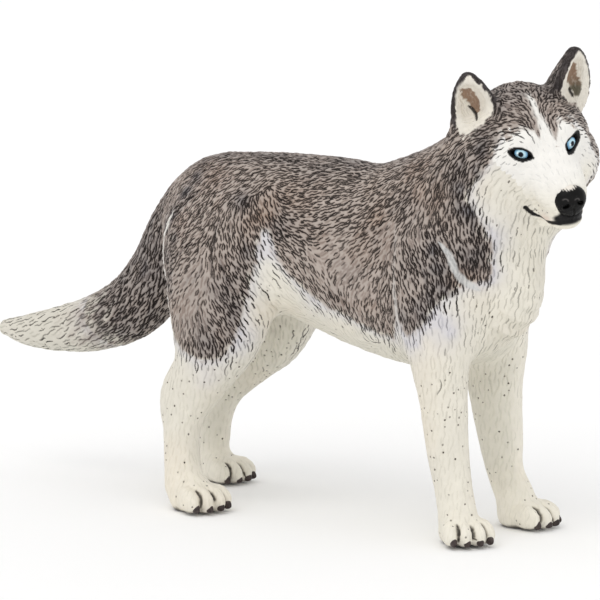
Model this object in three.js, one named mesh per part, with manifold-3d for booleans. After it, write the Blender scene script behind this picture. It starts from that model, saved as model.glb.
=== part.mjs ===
// Siberian husky toy figurine: a solid moulded vinyl animal, about 105 mm from nose to tail tip.
// Millimetres, +X towards the head, +Y to the dog's left, +Z up, the paws stand on z = 0.
// The figure is one smooth volume made of tapered limbs and rounded masses, parted by thin cuts
// into head, ears, neck, trunk, tail, legs and paws. Eyes, nose and claws are separate solids.
import * as THREE from 'three';
import { mergeVertices } from 'three/addons/utils/BufferGeometryUtils.js';
import Module from 'manifold-3d';

const wasm = await Module();
wasm.setup();

// ---------------------------------------------------------------- driving dimensions
const CENTRE_SHIFT = [9.95, 2.07, 0];      // brings the middle of the footprint box to the origin
const CUT = 0.3;                          // width of the thin cuts between neighbours
const GRID = 1.0, EAR_GRID = 0.5;         // sculpting grids
const FACETS = 10000;                     // facets kept for the whole body
const NODE_FACETS = {                     // facets kept in each node after the cuts
  trunk: 1240, neck: 460, head: 1500, ear_right: 270, ear_left: 270, tail: 540,
  foreleg_right: 390, foreleg_left: 390, hindleg_right: 640, hindleg_left: 640,
  paw_front_right: 500, paw_front_left: 500, paw_hind_right: 500, paw_hind_left: 500 };
const POCKET = 0.2;                       // clearance round eyes, nose and claws
const HEAD_AT = [30.7, 0.3, 54.8];        // centre of the skull
const HEAD_TURN = [13.3, 12.0, -35.0];    // roll, nose-down pitch and turn to the right, degrees
const EYE = { size: [1.15, 1.5, 0.98], toeOut: 34, tilt: 13 };
const EYES_AT = { right: [6.45, -3.19, 0.23], left: [6.7, 2.7, -0.05] };
const NOSE = { at: [12.75, 0.2, -5.6], size: [1.6, 2.2, 2.2], pitch: 12 };
const EAR_HEIGHT = 9.1, EAR_DEPTH = 3.6, EAR_OUT = 33;
const EARS = {
  right: { side: -1, base: [-1.7, 6.3, 2.0], tip: [0.4, 7.4, 10.5], halfWidth: 3.3, taper: 2.1 },
  left: { side: 1, base: [-2.4, 7.1, 2.0], tip: [0.6, 7.9, 10.2], halfWidth: 4.35, taper: 1.7 },
};
const PAWS = {                            // x, y, turn in degrees, size
  front_right: [26.2, -7.7, -33, 0.98],
  front_left: [26.2, 7.3, 4, 1.0],
  hind_right: [-16.5, -11.9, -12, 1.04],
  hind_left: [-27.4, 7.3, -4, 1.0],
};
const TOES = [[-2.5, 1.2], [-0.9, 1.9], [0.9, 1.9], [2.5, 1.2]];  // aside and forward in the paw
const CLAW = { size: [0.75, 0.52, 0.68], forward: 1.95, up: 1.0, droop: 20 };

// stations of the limbs: x, y, z, half width across the body, half width along it, belly swell
const TRUNK = [
  [-26.5, 0, 40.0, 3.5, 5.2, 0], [-22.5, 0, 39.3, 7.4, 9.6, -0.05], [-16, 0, 38.3, 8.6, 11.3, -0.05],
  [-8, 0, 38.5, 8.3, 11.35, -0.1], [0, 0, 37.5, 8.8, 12.3, -0.1], [8, 0, 35.95, 9.8, 12.85, -0.12],
  [15, 0, 36.0, 10.1, 13.9, -0.15], [21, 0, 36.3, 9.0, 13.0, -0.12], [25.6, -0.7, 36.4, 5.9, 9.9, -0.05],
  [28.2, -1.0, 38.8, 3.2, 6.0, 0]];
const NECK = [[13, 0, 41.4, 7.8, 8.6], [18, 0, 43.3, 8.2, 9.0], [23, 0, 46.1, 8.5, 9.0], [27.8, 0.2, 50.3, 8.5, 8.4]];
const TAIL = [
  [-20, 0, 45.0, 3.2, 3.6], [-26, 0, 42.2, 3.8, 4.2], [-29.7, -0.3, 37.5, 3.9, 4.4], [-32.3, -0.8, 31.4, 4.2, 4.9],
  [-36.8, -1.4, 26.3, 4.3, 4.8], [-43, -1.9, 23.3, 4.1, 4.2], [-50, -2.2, 21.7, 3.4, 3.4],
  [-56.5, -2.3, 20.9, 2.4, 2.4], [-61.3, -2.4, 20.9, 1.15, 1.2]];
const FORELEG_RIGHT = [
  [19.8, -3.4, 43, 2.6, 4.2], [20.8, -6.0, 38, 4.4, 7.3], [21.2, -6.8, 31, 4.5, 6.1], [21.8, -7.3, 25, 3.7, 4.3],
  [22.6, -7.4, 19, 3.15, 3.3], [23.4, -7.4, 12, 2.75, 2.85], [24.4, -7.5, 7.5, 2.45, 2.6], [25.1, -7.6, 4.2, 2.4, 2.7]];
const FORELEG_LEFT = [
  [19.5, 3.4, 43, 2.6, 4.2], [19.9, 5.7, 38, 4.3, 6.0], [20.2, 6.8, 31, 4.2, 5.7], [20.5, 7.2, 25, 3.9, 5.0],
  [20.7, 7.4, 19, 3.55, 3.85], [21.5, 7.6, 12, 3.0, 3.15], [22.6, 7.2, 7.5, 2.4, 2.6], [24.2, 7.2, 4.2, 2.5, 2.7]];
const HINDLEG_RIGHT = [
  [-18.0, -3.0, 43, 2.6, 6.0], [-17.2, -5.2, 38, 4.9, 9.6], [-15.9, -6.9, 31, 4.9, 9.3], [-16.3, -7.8, 25, 4.3, 7.5],
  [-18.3, -8.2, 19.5, 3.5, 4.8], [-21.0, -8.9, 15.0, 2.9, 4.1], [-20.9, -9.9, 11, 2.45, 2.8],
  [-20.0, -10.9, 6.5, 2.45, 2.65], [-19.1, -11.6, 3.6, 2.6, 2.9]];
const HINDLEG_LEFT = [
  [-18.0, 3.0, 43, 2.6, 6.0], [-17.3, 5.2, 38, 4.8, 9.2], [-16.0, 7.0, 31, 4.6, 7.6], [-18.7, 7.8, 24, 4.1, 6.1],
  [-22.8, 8.0, 19.5, 3.4, 4.6], [-27.4, 8.0, 14.8, 2.8, 3.5], [-29.4, 8.0, 10.5, 2.4, 2.8],
  [-30.0, 7.8, 6.0, 2.4, 2.7], [-30.2, 7.7, 3.6, 2.5, 2.8]];
const THROAT = { at: [27.9, 0.8, 44.2], size: [5.0, 6.9, 8.0] };

// ---------------------------------------------------------------- small vector and blending tools
const rad = Math.PI / 180;
const clamp = (v, a, b) => Math.min(Math.max(v, a), b);
// smooth union: the two distances meet in a fillet of width k
const smin = (a, b, k) => { const h = Math.max(k - Math.abs(a - b), 0) / k; return Math.min(a, b) - h * h * k * 0.25; };
const smax = (a, b, k) => -smin(-a, -b, k);
function turn(rx, ry, rz) {
  const m = new THREE.Matrix4().makeRotationZ(rz * rad)
    .multiply(new THREE.Matrix4().makeRotationY(ry * rad)).multiply(new THREE.Matrix4().makeRotationX(rx * rad));
  const e = m.elements;
  return [[e[0], e[1], e[2]], [e[4], e[5], e[6]], [e[8], e[9], e[10]]];   // the three local axes
}
const dot = (a, b) => a[0] * b[0] + a[1] * b[1] + a[2] * b[2];
const local = (R, x, y, z) => [
  x * R[0][0] + y * R[0][1] + z * R[0][2], x * R[1][0] + y * R[1][1] + z * R[1][2], x * R[2][0] + y * R[2][1] + z * R[2][2]];
const world = (R, o, p) => [0, 1, 2].map((i) => o[i] + R[0][i] * p[0] + R[1][i] * p[1] + R[2][i] * p[2]);
// signed distance (first order) to an ellipsoid
function egg(x, y, z, a, b, c) {
  const X = x / a, Y = y / b, Z = z / c, k0 = Math.sqrt(X * X + Y * Y + Z * Z);
  const k1 = Math.sqrt((X / a) ** 2 + (Y / b) ** 2 + (Z / c) ** 2) + 1e-9;
  return (k0 * (k0 - 1)) / k1;
}
function blob(p, c, r, R) {
  let q = [p[0] - c[0], p[1] - c[1], p[2] - c[2]];
  if (R) q = local(R, q[0], q[1], q[2]);
  return egg(q[0], q[1], q[2], r[0], r[1], r[2]);
}
// A limb: a chain of elliptical tapered lengths on a smooth curve through the stations.
function limb(stations, steps = 5) {
  const S = stations.map((s) => [...s, 0].slice(0, 6));
  const pts = [];
  const m = S.length;
  for (let i = 0; i < m - 1; i++) {
    const p1 = S[i], p2 = S[i + 1];
    const p0 = i > 0 ? S[i - 1] : p1.map((v, k) => 2 * v - p2[k]);
    const p3 = i + 2 < m ? S[i + 2] : p2.map((v, k) => 2 * v - p1[k]);
    for (let k = 0; k < steps; k++) {
      const t = k / steps;
      pts.push(p1.map((v, j) => 0.5 * (2 * p1[j] + (p2[j] - p0[j]) * t + (2 * p0[j] - 5 * p1[j] + 4 * p2[j] - p3[j]) * t * t
        + (3 * p1[j] - p0[j] - 3 * p2[j] + p3[j]) * t ** 3)));
    }
  }
  pts.push(S[m - 1]);
  const segs = [];
  for (let i = 0; i + 1 < pts.length; i++) {
    const A = pts[i], B = pts[i + 1];
    const d = [B[0] - A[0], B[1] - A[1], B[2] - A[2]], L = Math.hypot(...d), T = d.map((v) => v / L);
    let s = [-T[1] * T[0], 1 - T[1] * T[1], -T[1] * T[2]];
    const sl = Math.hypot(...s); s = s.map((v) => v / sl);
    const N = [T[1] * s[2] - T[2] * s[1], T[2] * s[0] - T[0] * s[2], T[0] * s[1] - T[1] * s[0]];
    segs.push({ A, B, L, T, s, N });
  }
  const lo = [0, 1, 2].map((i) => Math.min(...pts.map((q) => q[i] - Math.max(q[3], q[4]))));
  const hi = [0, 1, 2].map((i) => Math.max(...pts.map((q) => q[i] + Math.max(q[3], q[4]))));
  return (p) => {
    const away = Math.hypot(...[0, 1, 2].map((i) => Math.max(lo[i] - p[i], p[i] - hi[i], 0)));
    if (away > 7) return away;
    let best = 1e9;
    for (const g of segs) {
      const d = [p[0] - g.A[0], p[1] - g.A[1], p[2] - g.A[2]];
      const t = dot(d, g.T), tc = clamp(t, 0, g.L), u = tc / g.L;
      const rb = g.A[4] + (g.B[4] - g.A[4]) * u, n = dot(d, g.N);
      let ra = g.A[3] + (g.B[3] - g.A[3]) * u;
      ra *= 1 + (g.A[5] + (g.B[5] - g.A[5]) * u) * clamp(n / rb, -1, 1);
      best = Math.min(best, egg(dot(d, g.s), n, t - tc, ra, rb, Math.min(ra, rb)));
    }
    return best;
  };
}

// ---------------------------------------------------------------- the figure's volume
const trunk = limb(TRUNK), neck = limb(NECK), tail = limb(TAIL);
const legs = [FORELEG_RIGHT, FORELEG_LEFT, HINDLEG_RIGHT, HINDLEG_LEFT].map((s) => limb(s));
const RH = turn(...HEAD_TURN);
const toHead = (p) => local(RH, p[0] - HEAD_AT[0], p[1] - HEAD_AT[1], p[2] - HEAD_AT[2]);

function earFrame(e) {
  const up = e.tip.map((v, i) => v - e.base[i]);
  const ul = Math.hypot(...up); up.forEach((v, i) => { up[i] = v / ul; });
  const o = EAR_OUT * rad;
  let face = [Math.cos(o), Math.sin(o), 0];
  const k = dot(face, up); face = face.map((v, i) => v - k * up[i]);
  const fl = Math.hypot(...face); face = face.map((v) => v / fl);
  const w = [up[1] * face[2] - up[2] * face[1], up[2] * face[0] - up[0] * face[2], up[0] * face[1] - up[1] * face[0]];
  return { up, face, w, base: e.tip.map((v, i) => v - up[i] * EAR_HEIGHT) };
}
const earFrames = Object.fromEntries(Object.entries(EARS).map(([k, e]) => [k, earFrame(e)]));
// upright cone-shaped ear, open in front
function ear(h, name) {
  const e = EARS[name], F = earFrames[name];
  const d = [h[0] - F.base[0], h[1] * e.side - F.base[1], h[2] - F.base[2]];
  const x = dot(d, F.face), y = dot(d, F.w), z = dot(d, F.up);
  const tc = clamp(z / EAR_HEIGHT, 0, 0.999), tb = clamp(-z / 4, 0, 0.97), low = Math.sqrt(1 - tb * tb);
  const half = (e.halfWidth * (1 - tc ** e.taper) ** 0.75 + 0.2) * low;
  const deep = (EAR_DEPTH * (1 - tc) ** 0.9 + 0.75) * low;
  const b = x < 0 ? x / deep : x / (0.35 * deep + 0.6);
  let f = (Math.sqrt((y / half) ** 2 + b * b) - 1) * Math.min(half, deep) * 0.75;
  f = smax(f, z - EAR_HEIGHT, 0.8);
  f = smax(f, -z - 4, 0.6);
  f = smax(f, x - 0.45, 0.5);
  const hollow = egg(x - 0.9, y, z - EAR_HEIGHT * 0.41, 1.9, 2.0, EAR_HEIGHT * 0.43);
  return smax(f, -hollow, 0.4);
}
const pitch30 = turn(0, 30, 0), pitch22 = turn(0, 22, 0), pitch10 = turn(0, 10, 0);
function head(h) {
  let f = blob(h, [-1.0, -0.7, 0.55], [7.6, 6.5, 6.0]);                    // skull
  f = smin(f, blob(h, [1.2, 0, -3.2], [6.4, 6.9, 5.4]), 3.0);              // cheeks
  for (const s of [-1, 1]) {
    f = smin(f, blob(h, [0.4, s * 5.2, -4.7], [4.7, 3.6, 4.2]), 2.6);      // cheek ruff
    f = smin(f, blob(h, [5.7, s * 2.5, 1.3], [1.9, 1.9, 1.3]), 1.6);       // brow
    f = smin(f, blob(h, [1.2, s * 4.5, 0.3], [3.2, 2.9, 2.4]), 1.6);       // temple
    f = smin(f, blob(h, [4.3, s * 4.5, -0.9], [2.5, 2.1, 1.8]), 1.4);      // cheekbone
  }
  f = smin(f, blob(h, [8.0, 0, -3.3], [5.2, 3.7, 3.3], pitch30), 2.2);     // muzzle root
  f = smin(f, blob(h, [10.8, 0, -5.2], [3.3, 2.9, 2.5], pitch22), 1.6);    // muzzle end
  f = smin(f, blob(h, [8.8, 0, -7.9], [4.4, 2.7, 2.1], pitch10), 1.2);     // lower jaw
  return smin(f, blob(h, [1.9, 0.5, -9.4], [4.4, 4.4, 3.6]), 2.6);         // throat under the jaw
}
const pawTurn = Object.fromEntries(Object.entries(PAWS).map(([k, v]) => [k, turn(0, 0, v[2])]));
const toeTurn = TOES.map(([ty]) => turn(0, 12, ty * 4));
function paw(p, name) {
  const [cx, cy, , s] = PAWS[name];
  const away = Math.hypot(p[0] - cx, p[1] - cy, p[2]);
  if (away > 12) return away - 7;
  const q = local(pawTurn[name], p[0] - cx, p[1] - cy, p[2]).map((v) => v / s);
  let f = blob(q, [-1.1, 0, 1.9], [3.2, 3.0, 2.9]);
  TOES.forEach(([ty, tx], i) => {
    const k = Math.abs(ty) < 2 ? 1 : 0.94;
    f = smin(f, blob(q, [tx, ty, 1.9], [2.6 * k, 1.12 * k, 1.75 * k], toeTurn[i]), 0.55);
  });
  return f * s;
}
function figure(x, y, z) {
  const p = [x, y, z];
  let f = smin(trunk(p), neck(p), 3.5);
  f = smin(f, blob(p, THROAT.at, THROAT.size), 4.0);
  if (x > 12) {
    const h = toHead(p);
    let g = head(h);
    for (const e of ['right', 'left']) g = smin(g, ear(h, e), 0.9);
    f = smin(f, g, 2.6);
  }
  f = smin(f, tail(p), 1.5);
  for (const l of legs) f = smin(f, l(p), 3.0);
  for (const n of Object.keys(PAWS)) f = smin(f, paw(p, n), 0.9);
  return f;
}

// ---------------------------------------------------------------- surface of a volume inside a box
// One vertex per grid cell that the surface passes through, then two steps onto the surface itself.
function surface(field, lo, hi, step) {
  const n = [0, 1, 2].map((i) => Math.ceil((hi[i] - lo[i]) / step) + 1);
  const at = (i, j, k) => (i * n[1] + j) * n[2] + k;
  const D = new Float64Array(n[0] * n[1] * n[2]);
  for (let i = 0; i < n[0]; i++) for (let j = 0; j < n[1]; j++) for (let k = 0; k < n[2]; k++) {
    const edge = i === 0 || j === 0 || k === 0 || i === n[0] - 1 || j === n[1] - 1 || k === n[2] - 1;
    const v = field(lo[0] + i * step, lo[1] + j * step, lo[2] + k * step);
    D[at(i, j, k)] = edge ? Math.max(v, step * 0.5) : v;
  }
  const id = new Int32Array(D.length).fill(-1), pos = [], inner = [];
  for (let i = 0; i < n[0] - 1; i++) for (let j = 0; j < n[1] - 1; j++) for (let k = 0; k < n[2] - 1; k++) {
    let c = 0; const s = [0, 0, 0];
    for (let a = 0; a < 3; a++) for (let u = 0; u < 2; u++) for (let v = 0; v < 2; v++) {
      const o = [0, 0, 0]; o[(a + 1) % 3] = u; o[(a + 2) % 3] = v;
      const q = [...o]; q[a] = 1;
      const d0 = D[at(i + o[0], j + o[1], k + o[2])], d1 = D[at(i + q[0], j + q[1], k + q[2])];
      if (d0 < 0 === d1 < 0) continue;
      const t = d0 / (d0 - d1); c++;
      s[0] += o[0]; s[1] += o[1]; s[2] += o[2]; s[a] += t;
    }
    if (!c) continue;
    id[at(i, j, k)] = pos.length;
    pos.push([lo[0] + (i + s[0] / c) * step, lo[1] + (j + s[1] / c) * step, lo[2] + (k + s[2] / c) * step]);
    inner.push(i > 0 && j > 0 && k > 0 && i < n[0] - 2 && j < n[1] - 2 && k < n[2] - 2);
  }
  pos.forEach((p, i) => {
    if (!inner[i]) return;
    const q = [...p];
    for (let r = 0; r < 2; r++) {
      const e = 0.04, v = field(...q);
      const g = [0, 1, 2].map((a) => { const u = [...q], w = [...q]; u[a] += e; w[a] -= e; return (field(...u) - field(...w)) / (2 * e); });
      const gg = Math.max(dot(g, g), 0.3);
      for (let a = 0; a < 3; a++) q[a] -= (v * g[a]) / gg;
    }
    const far = Math.hypot(q[0] - p[0], q[1] - p[1], q[2] - p[2]);
    const w = far > 0.45 * step ? (0.45 * step) / far : 1;
    for (let a = 0; a < 3; a++) p[a] += (q[a] - p[a]) * w;
  });
  const index = [];
  for (let a = 0; a < 3; a++) {
    const b = (a + 1) % 3, c = (a + 2) % 3;
    for (let i = 0; i < n[0] - 1; i++) for (let j = 0; j < n[1] - 1; j++) for (let k = 0; k < n[2] - 1; k++) {
      const o = [i, j, k];
      if (o[b] === 0 || o[c] === 0) continue;
      const q = [...o]; q[a]++;
      const d0 = D[at(...o)], d1 = D[at(...q)];
      if (d0 < 0 === d1 < 0) continue;
      const cell = (du, dv) => { const w = [...o]; w[b] += du; w[c] += dv; return id[at(...w)]; };
      let quad = [cell(-1, -1), cell(0, -1), cell(0, 0), cell(-1, 0)];
      if (!(d0 < 0)) quad.reverse();
      // the shorter diagonal splits the quad
      const d02 = Math.hypot(...pos[quad[0]].map((v, t) => v - pos[quad[2]][t]));
      const d13 = Math.hypot(...pos[quad[1]].map((v, t) => v - pos[quad[3]][t]));
      if (d02 <= d13) index.push(quad[0], quad[1], quad[2], quad[0], quad[2], quad[3]);
      else index.push(quad[1], quad[2], quad[3], quad[1], quad[3], quad[0]);
    }
  }
  const g = new THREE.BufferGeometry();
  g.setAttribute('position', new THREE.Float32BufferAttribute(pos.flat(), 3));
  g.setIndex(index);
  return g;
}

// Fewer, larger facets where the surface is calm: edges are collapsed in order of their quadric error,
// and `weight` keeps the small forms of the head and paws.
function calm(geometry, target, weight) {
  const P = Array.from(geometry.attributes.position.array), I = Array.from(geometry.index.array);
  const nv = P.length / 3, nf = I.length / 3;
  const Q = new Float64Array(nv * 10), ver = new Int32Array(nv), alive = new Uint8Array(nf).fill(1);
  const faces = Array.from({ length: nv }, () => new Set());
  const pt = (v) => [P[3 * v], P[3 * v + 1], P[3 * v + 2]];
  const cross = (a, b, c) => {
    const u = [b[0] - a[0], b[1] - a[1], b[2] - a[2]], v = [c[0] - a[0], c[1] - a[1], c[2] - a[2]];
    return [u[1] * v[2] - u[2] * v[1], u[2] * v[0] - u[0] * v[2], u[0] * v[1] - u[1] * v[0]];
  };
  for (let f = 0; f < nf; f++) {
    const t = [I[3 * f], I[3 * f + 1], I[3 * f + 2]], [a, b, c] = t.map(pt), n = cross(a, b, c), l = Math.hypot(...n) || 1e-12;
    const [x, y, z] = n.map((v) => v / l), d = -(x * a[0] + y * a[1] + z * a[2]), w = (l / 2) * weight(...a);
    const q = [x * x, x * y, x * z, x * d, y * y, y * z, y * d, z * z, z * d, d * d];
    for (const v of t) { faces[v].add(f); for (let k = 0; k < 10; k++) Q[10 * v + k] += q[k] * w; }
  }
  const ring = (v) => { const s = new Set(); for (const f of faces[v]) for (let k = 0; k < 3; k++) s.add(I[3 * f + k]); s.delete(v); return s; };
  const plan = (a, b) => {
    const q = new Array(10); for (let k = 0; k < 10; k++) q[k] = Q[10 * a + k] + Q[10 * b + k];
    const A = pt(a), B = pt(b), e = 1e-3 * (q[0] + q[4] + q[7]) + 1e-9, M = A.map((v, i) => (v + B[i]) / 2);
    const m = [[q[0] + e, q[1], q[2]], [q[1], q[4] + e, q[5]], [q[2], q[5], q[7] + e]], r = [-q[3] + e * M[0], -q[6] + e * M[1], -q[8] + e * M[2]];
    const det = (u) => u[0][0] * (u[1][1] * u[2][2] - u[1][2] * u[2][1]) - u[0][1] * (u[1][0] * u[2][2] - u[1][2] * u[2][0]) + u[0][2] * (u[1][0] * u[2][1] - u[1][1] * u[2][0]);
    const D = det(m);
    let p = M;
    if (Math.abs(D) > 1e-12) p = [0, 1, 2].map((c) => det(m.map((row, i) => row.map((v, j) => (j === c ? r[i] : v)))) / D);
    const L = Math.hypot(A[0] - B[0], A[1] - B[1], A[2] - B[2]);
    if (Math.hypot(p[0] - M[0], p[1] - M[1], p[2] - M[2]) > L) p = M;
    const [x, y, z] = p;
    const cost = q[0] * x * x + 2 * q[1] * x * y + 2 * q[2] * x * z + 2 * q[3] * x + q[4] * y * y + 2 * q[5] * y * z + 2 * q[6] * y + q[7] * z * z + 2 * q[8] * z + q[9];
    return { a, b, p, va: ver[a], vb: ver[b], cost: Math.max(cost, 0) + 1e-5 * L * L * weight(x, y, z) };
  };
  const heap = [];
  const up = (i) => { while (i > 0) { const j = (i - 1) >> 1; if (heap[j].cost <= heap[i].cost) break; [heap[i], heap[j]] = [heap[j], heap[i]]; i = j; } };
  const push = (e) => { heap.push(e); up(heap.length - 1); };
  const pop = () => {
    const top = heap[0], last = heap.pop();
    if (heap.length) {
      heap[0] = last; let i = 0;
      for (;;) { let j = 2 * i + 1; if (j >= heap.length) break; if (j + 1 < heap.length && heap[j + 1].cost < heap[j].cost) j++; if (heap[i].cost <= heap[j].cost) break; [heap[i], heap[j]] = [heap[j], heap[i]]; i = j; }
    }
    return top;
  };
  for (let f = 0; f < nf; f++) for (let k = 0; k < 3; k++) { const a = I[3 * f + k], b = I[3 * f + ((k + 1) % 3)]; if (a < b) push(plan(a, b)); }
  let count = nf;
  while (count > target && heap.length) {
    const { a, b, p, va, vb } = pop();
    if (ver[a] !== va || ver[b] !== vb || !faces[a].size || !faces[b].size) continue;
    const ra = ring(a), rb = ring(b);
    if (!ra.has(b)) continue;
    let shared = 0; for (const v of ra) if (rb.has(v)) shared++;
    if (shared !== 2) continue;
    let ok = true;
    for (const v of [a, b]) for (const f of faces[v]) {
      const t = [I[3 * f], I[3 * f + 1], I[3 * f + 2]];
      if (t.includes(a) && t.includes(b)) continue;
      const n0 = cross(...t.map(pt)), n1 = cross(...t.map((u) => (u === v ? p : pt(u))));
      const l0 = Math.hypot(...n0), l1 = Math.hypot(...n1);
      if (l1 < 1e-4 || dot(n0, n1) < 0.3 * l0 * l1) { ok = false; break; }
    }
    if (!ok) continue;
    [P[3 * a], P[3 * a + 1], P[3 * a + 2]] = p;
    for (let k = 0; k < 10; k++) Q[10 * a + k] += Q[10 * b + k];
    for (const f of [...faces[b]]) {
      const t = [I[3 * f], I[3 * f + 1], I[3 * f + 2]];
      if (t.includes(a)) { alive[f] = 0; count--; for (const v of t) faces[v].delete(f); } else {
        for (let k = 0; k < 3; k++) if (I[3 * f + k] === b) I[3 * f + k] = a;
        faces[a].add(f);
      }
    }
    faces[b].clear(); ver[a]++; ver[b]++;
    for (const v of ring(a)) push(plan(a, v));
  }
  const g = new THREE.BufferGeometry(), index = [];
  for (let f = 0; f < nf; f++) if (alive[f]) index.push(I[3 * f], I[3 * f + 1], I[3 * f + 2]);
  const used = new Map(), out = [], idx = index.map((v) => { if (!used.has(v)) { used.set(v, out.length / 3); out.push(...pt(v)); } return used.get(v); });
  g.setAttribute('position', new THREE.Float32BufferAttribute(out, 3));
  g.setIndex(idx);
  return g;
}

// ---------------------------------------------------------------- solids, cuts and joins
function solid(geometry) {
  const g = geometry.clone();
  for (const k of ['normal', 'uv']) g.deleteAttribute(k);
  const m = mergeVertices(g, 1e-4);
  return new wasm.Manifold(new wasm.Mesh({
    numProp: 3, vertProperties: new Float32Array(m.attributes.position.array), triVerts: new Uint32Array(m.index.array) }));
}
function toGeometry(s) {
  const m = s.getMesh(), g = new THREE.BufferGeometry(), v = [];
  for (let i = 0; i < m.vertProperties.length; i += m.numProp) v.push(m.vertProperties[i], m.vertProperties[i + 1], m.vertProperties[i + 2]);
  g.setAttribute('position', new THREE.Float32BufferAttribute(v, 3));
  g.setIndex(Array.from(m.triVerts));
  return g;
}
// the side of a plane that its normal points to, moved in by off
function side([point, normal], off = 0) {
  const n = new THREE.Vector3(...normal).normalize();
  const g = new THREE.BoxGeometry(320, 320, 320).translate(0, 0, 160 + off);
  g.applyQuaternion(new THREE.Quaternion().setFromUnitVectors(new THREE.Vector3(0, 0, 1), n));
  return solid(g.translate(...point));
}
const within = (planes, off) => planes.map((p) => side(p, off)).reduce((a, b) => a.intersect(b));
const flip = ([p, n]) => [p, n.map((v) => -v)];

// the planes of the cuts: a point and the way that the named region lies
const headPlane = [world(RH, HEAD_AT, [-4.5, 0, -1.0]), world(RH, [0, 0, 0], [0.86, 0, 0.51])];
const jawPlane = [world(RH, HEAD_AT, [3, 0, -11.2]), world(RH, [0, 0, 0], [0.42, 0, 0.9])];
const neckPlane = [[18, 0, 43], [0.6, 0, 0.8]];
const tailPlanes = [[[-27.6, 0, 38], [-0.97, 0, -0.24]], [[-33, 0, 22], [-0.5, 0, 0.87]]];
const legPlanes = {
  foreleg_right: [[[21, -3.1, 20], [0, -1, 0]], [[21, -6, 28.5], [0, -0.3, -0.95]], [[13.4, 0, 25], [0.97, 0, -0.24]]],
  foreleg_left: [[[21, 3.1, 20], [0, 1, 0]], [[21, 6, 28.5], [0, 0.3, -0.95]], [[12.8, 0, 25], [0.97, 0, -0.24]]],
  hindleg_right: [[[-18, -2.6, 20], [0, -1, 0]], flip(tailPlanes[1]), [[-18, 0, 37], [-0.25, 0, -0.97]], [[-8.4, 0, 33], [-0.78, 0, -0.62]]],
  hindleg_left: [[[-18, 2.6, 20], [0, 1, 0]], flip(tailPlanes[1]), [[-18, 0, 37], [-0.25, 0, -0.97]], [[-8.4, 0, 33], [-0.78, 0, -0.62]]],
};
const PAW_TOP = 5.4;
const earPlanes = Object.fromEntries(Object.entries(EARS).map(([k, e]) => [k, [
  world(RH, HEAD_AT, [-1.4, 5.5 * e.side, 4.5]), world(RH, [0, 0, 0], [0.12, 0.66 * e.side, 0.74])]]));
const ground = [[0, 0, 0], [0, 0, 1]];

// separate small solids
function roundPiece(size, wide, high, R, at, grow = 0) {
  const g = new THREE.SphereGeometry(1, wide, high).scale(size[0] + grow, size[1] + grow, size[2] + grow);
  const m = new THREE.Matrix4().makeBasis(new THREE.Vector3(...R[0]), new THREE.Vector3(...R[1]), new THREE.Vector3(...R[2]));
  return g.applyMatrix4(m).translate(...at);
}
const times = (A, B) => B.map((b) => [0, 1, 2].map((i) => A[0][i] * b[0] + A[1][i] * b[1] + A[2][i] * b[2]));
const eyes = {}, claws = {}, pockets = { head: [], paw: {} };
for (const [name, s] of [['right', -1], ['left', 1]]) {
  const R = times(RH, turn(s * EYE.tilt, 0, s * EYE.toeOut)), at = world(RH, HEAD_AT, EYES_AT[name]);
  eyes[name] = roundPiece(EYE.size, 10, 7, R, at);
  pockets.head.push(roundPiece(EYE.size, 10, 7, R, at, POCKET));
}
const noseTurn = times(RH, turn(0, NOSE.pitch, 0)), noseAt = world(RH, HEAD_AT, NOSE.at);
const nose = roundPiece(NOSE.size, 12, 8, noseTurn, noseAt);
pockets.head.push(roundPiece(NOSE.size, 12, 8, noseTurn, noseAt, POCKET));
for (const [name, [cx, cy, , s]] of Object.entries(PAWS)) {
  pockets.paw[name] = [];
  TOES.forEach(([ty, tx], i) => {
    const R = times(pawTurn[name], turn(0, CLAW.droop, ty * 4));
    const at = world(pawTurn[name], [cx, cy, 0], [(tx + CLAW.forward) * s, ty * 1.06 * s, CLAW.up]);
    claws[`claw_${name}_${i + 1}`] = roundPiece(CLAW.size, 7, 4, R, at);
    pockets.paw[name].push(roundPiece(CLAW.size, 7, 4, R, at, POCKET));
  });
}

// the named nodes: region box, grid step, planes that keep it, regions and pockets taken out of it
const half = CUT / 2;
const COAT = { white: 0xe6e2d4, grey: 0x9b8a7f, dark: 0x55504f };
const care = (x, y, z) => {
  const q = toHead([x, y, z]), face = Math.hypot(q[0] - 6, q[1], q[2] + 1) < 11, ears = q[2] > 5.5 && x > 15;
  return ears ? 5 : face ? 7 : z < 5.6 ? 9 : z < 20 && x > -34 ? 2 : 1;
};
const parts = [];
function add(name, s, color, roughness = 0.62) {
  let geometry = toGeometry(s);
  if (NODE_FACETS[name]) {
    geometry = calm(geometry, NODE_FACETS[name], care);
    const a = geometry.attributes.position.array;
    for (let i = 2; i < a.length; i += 3) if (a[i] < 0.02) a[i] = 0;      // the soles stay flat
  }
  parts.push({ name, geometry, color, roughness });
}
const whole = solid(calm(surface(figure, [-65, -17, -2.5], [46, 16, 69], GRID), FACETS, care)).intersect(side(ground));
const body = (planes) => whole.intersect(within(planes, half));
{
  let s = body([flip(neckPlane)]).subtract(within(tailPlanes, -half));
  for (const k of Object.keys(legPlanes)) s = s.subtract(within(legPlanes[k], -half));
  add('trunk', s, COAT.grey);
}
add('neck', body([neckPlane]).subtract(within([headPlane, jawPlane], -half)), COAT.grey);
{
  let s = body([headPlane, jawPlane]);
  for (const k of Object.keys(EARS)) s = s.subtract(side(earPlanes[k], -half));
  for (const g of pockets.head) s = s.subtract(solid(g));
  add('head', s, COAT.white);
}
for (const k of Object.keys(EARS)) {
  const b = world(RH, HEAD_AT, [-0.8, 7.0 * EARS[k].side, 6.4]);
  const fine = surface(figure, b.map((v) => v - 7), b.map((v) => v + 7), EAR_GRID);
  add(`ear_${k}`, solid(calm(fine, 1500, care)).intersect(side(earPlanes[k], half)), COAT.dark);
}
add('tail', body(tailPlanes), COAT.grey);
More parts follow.
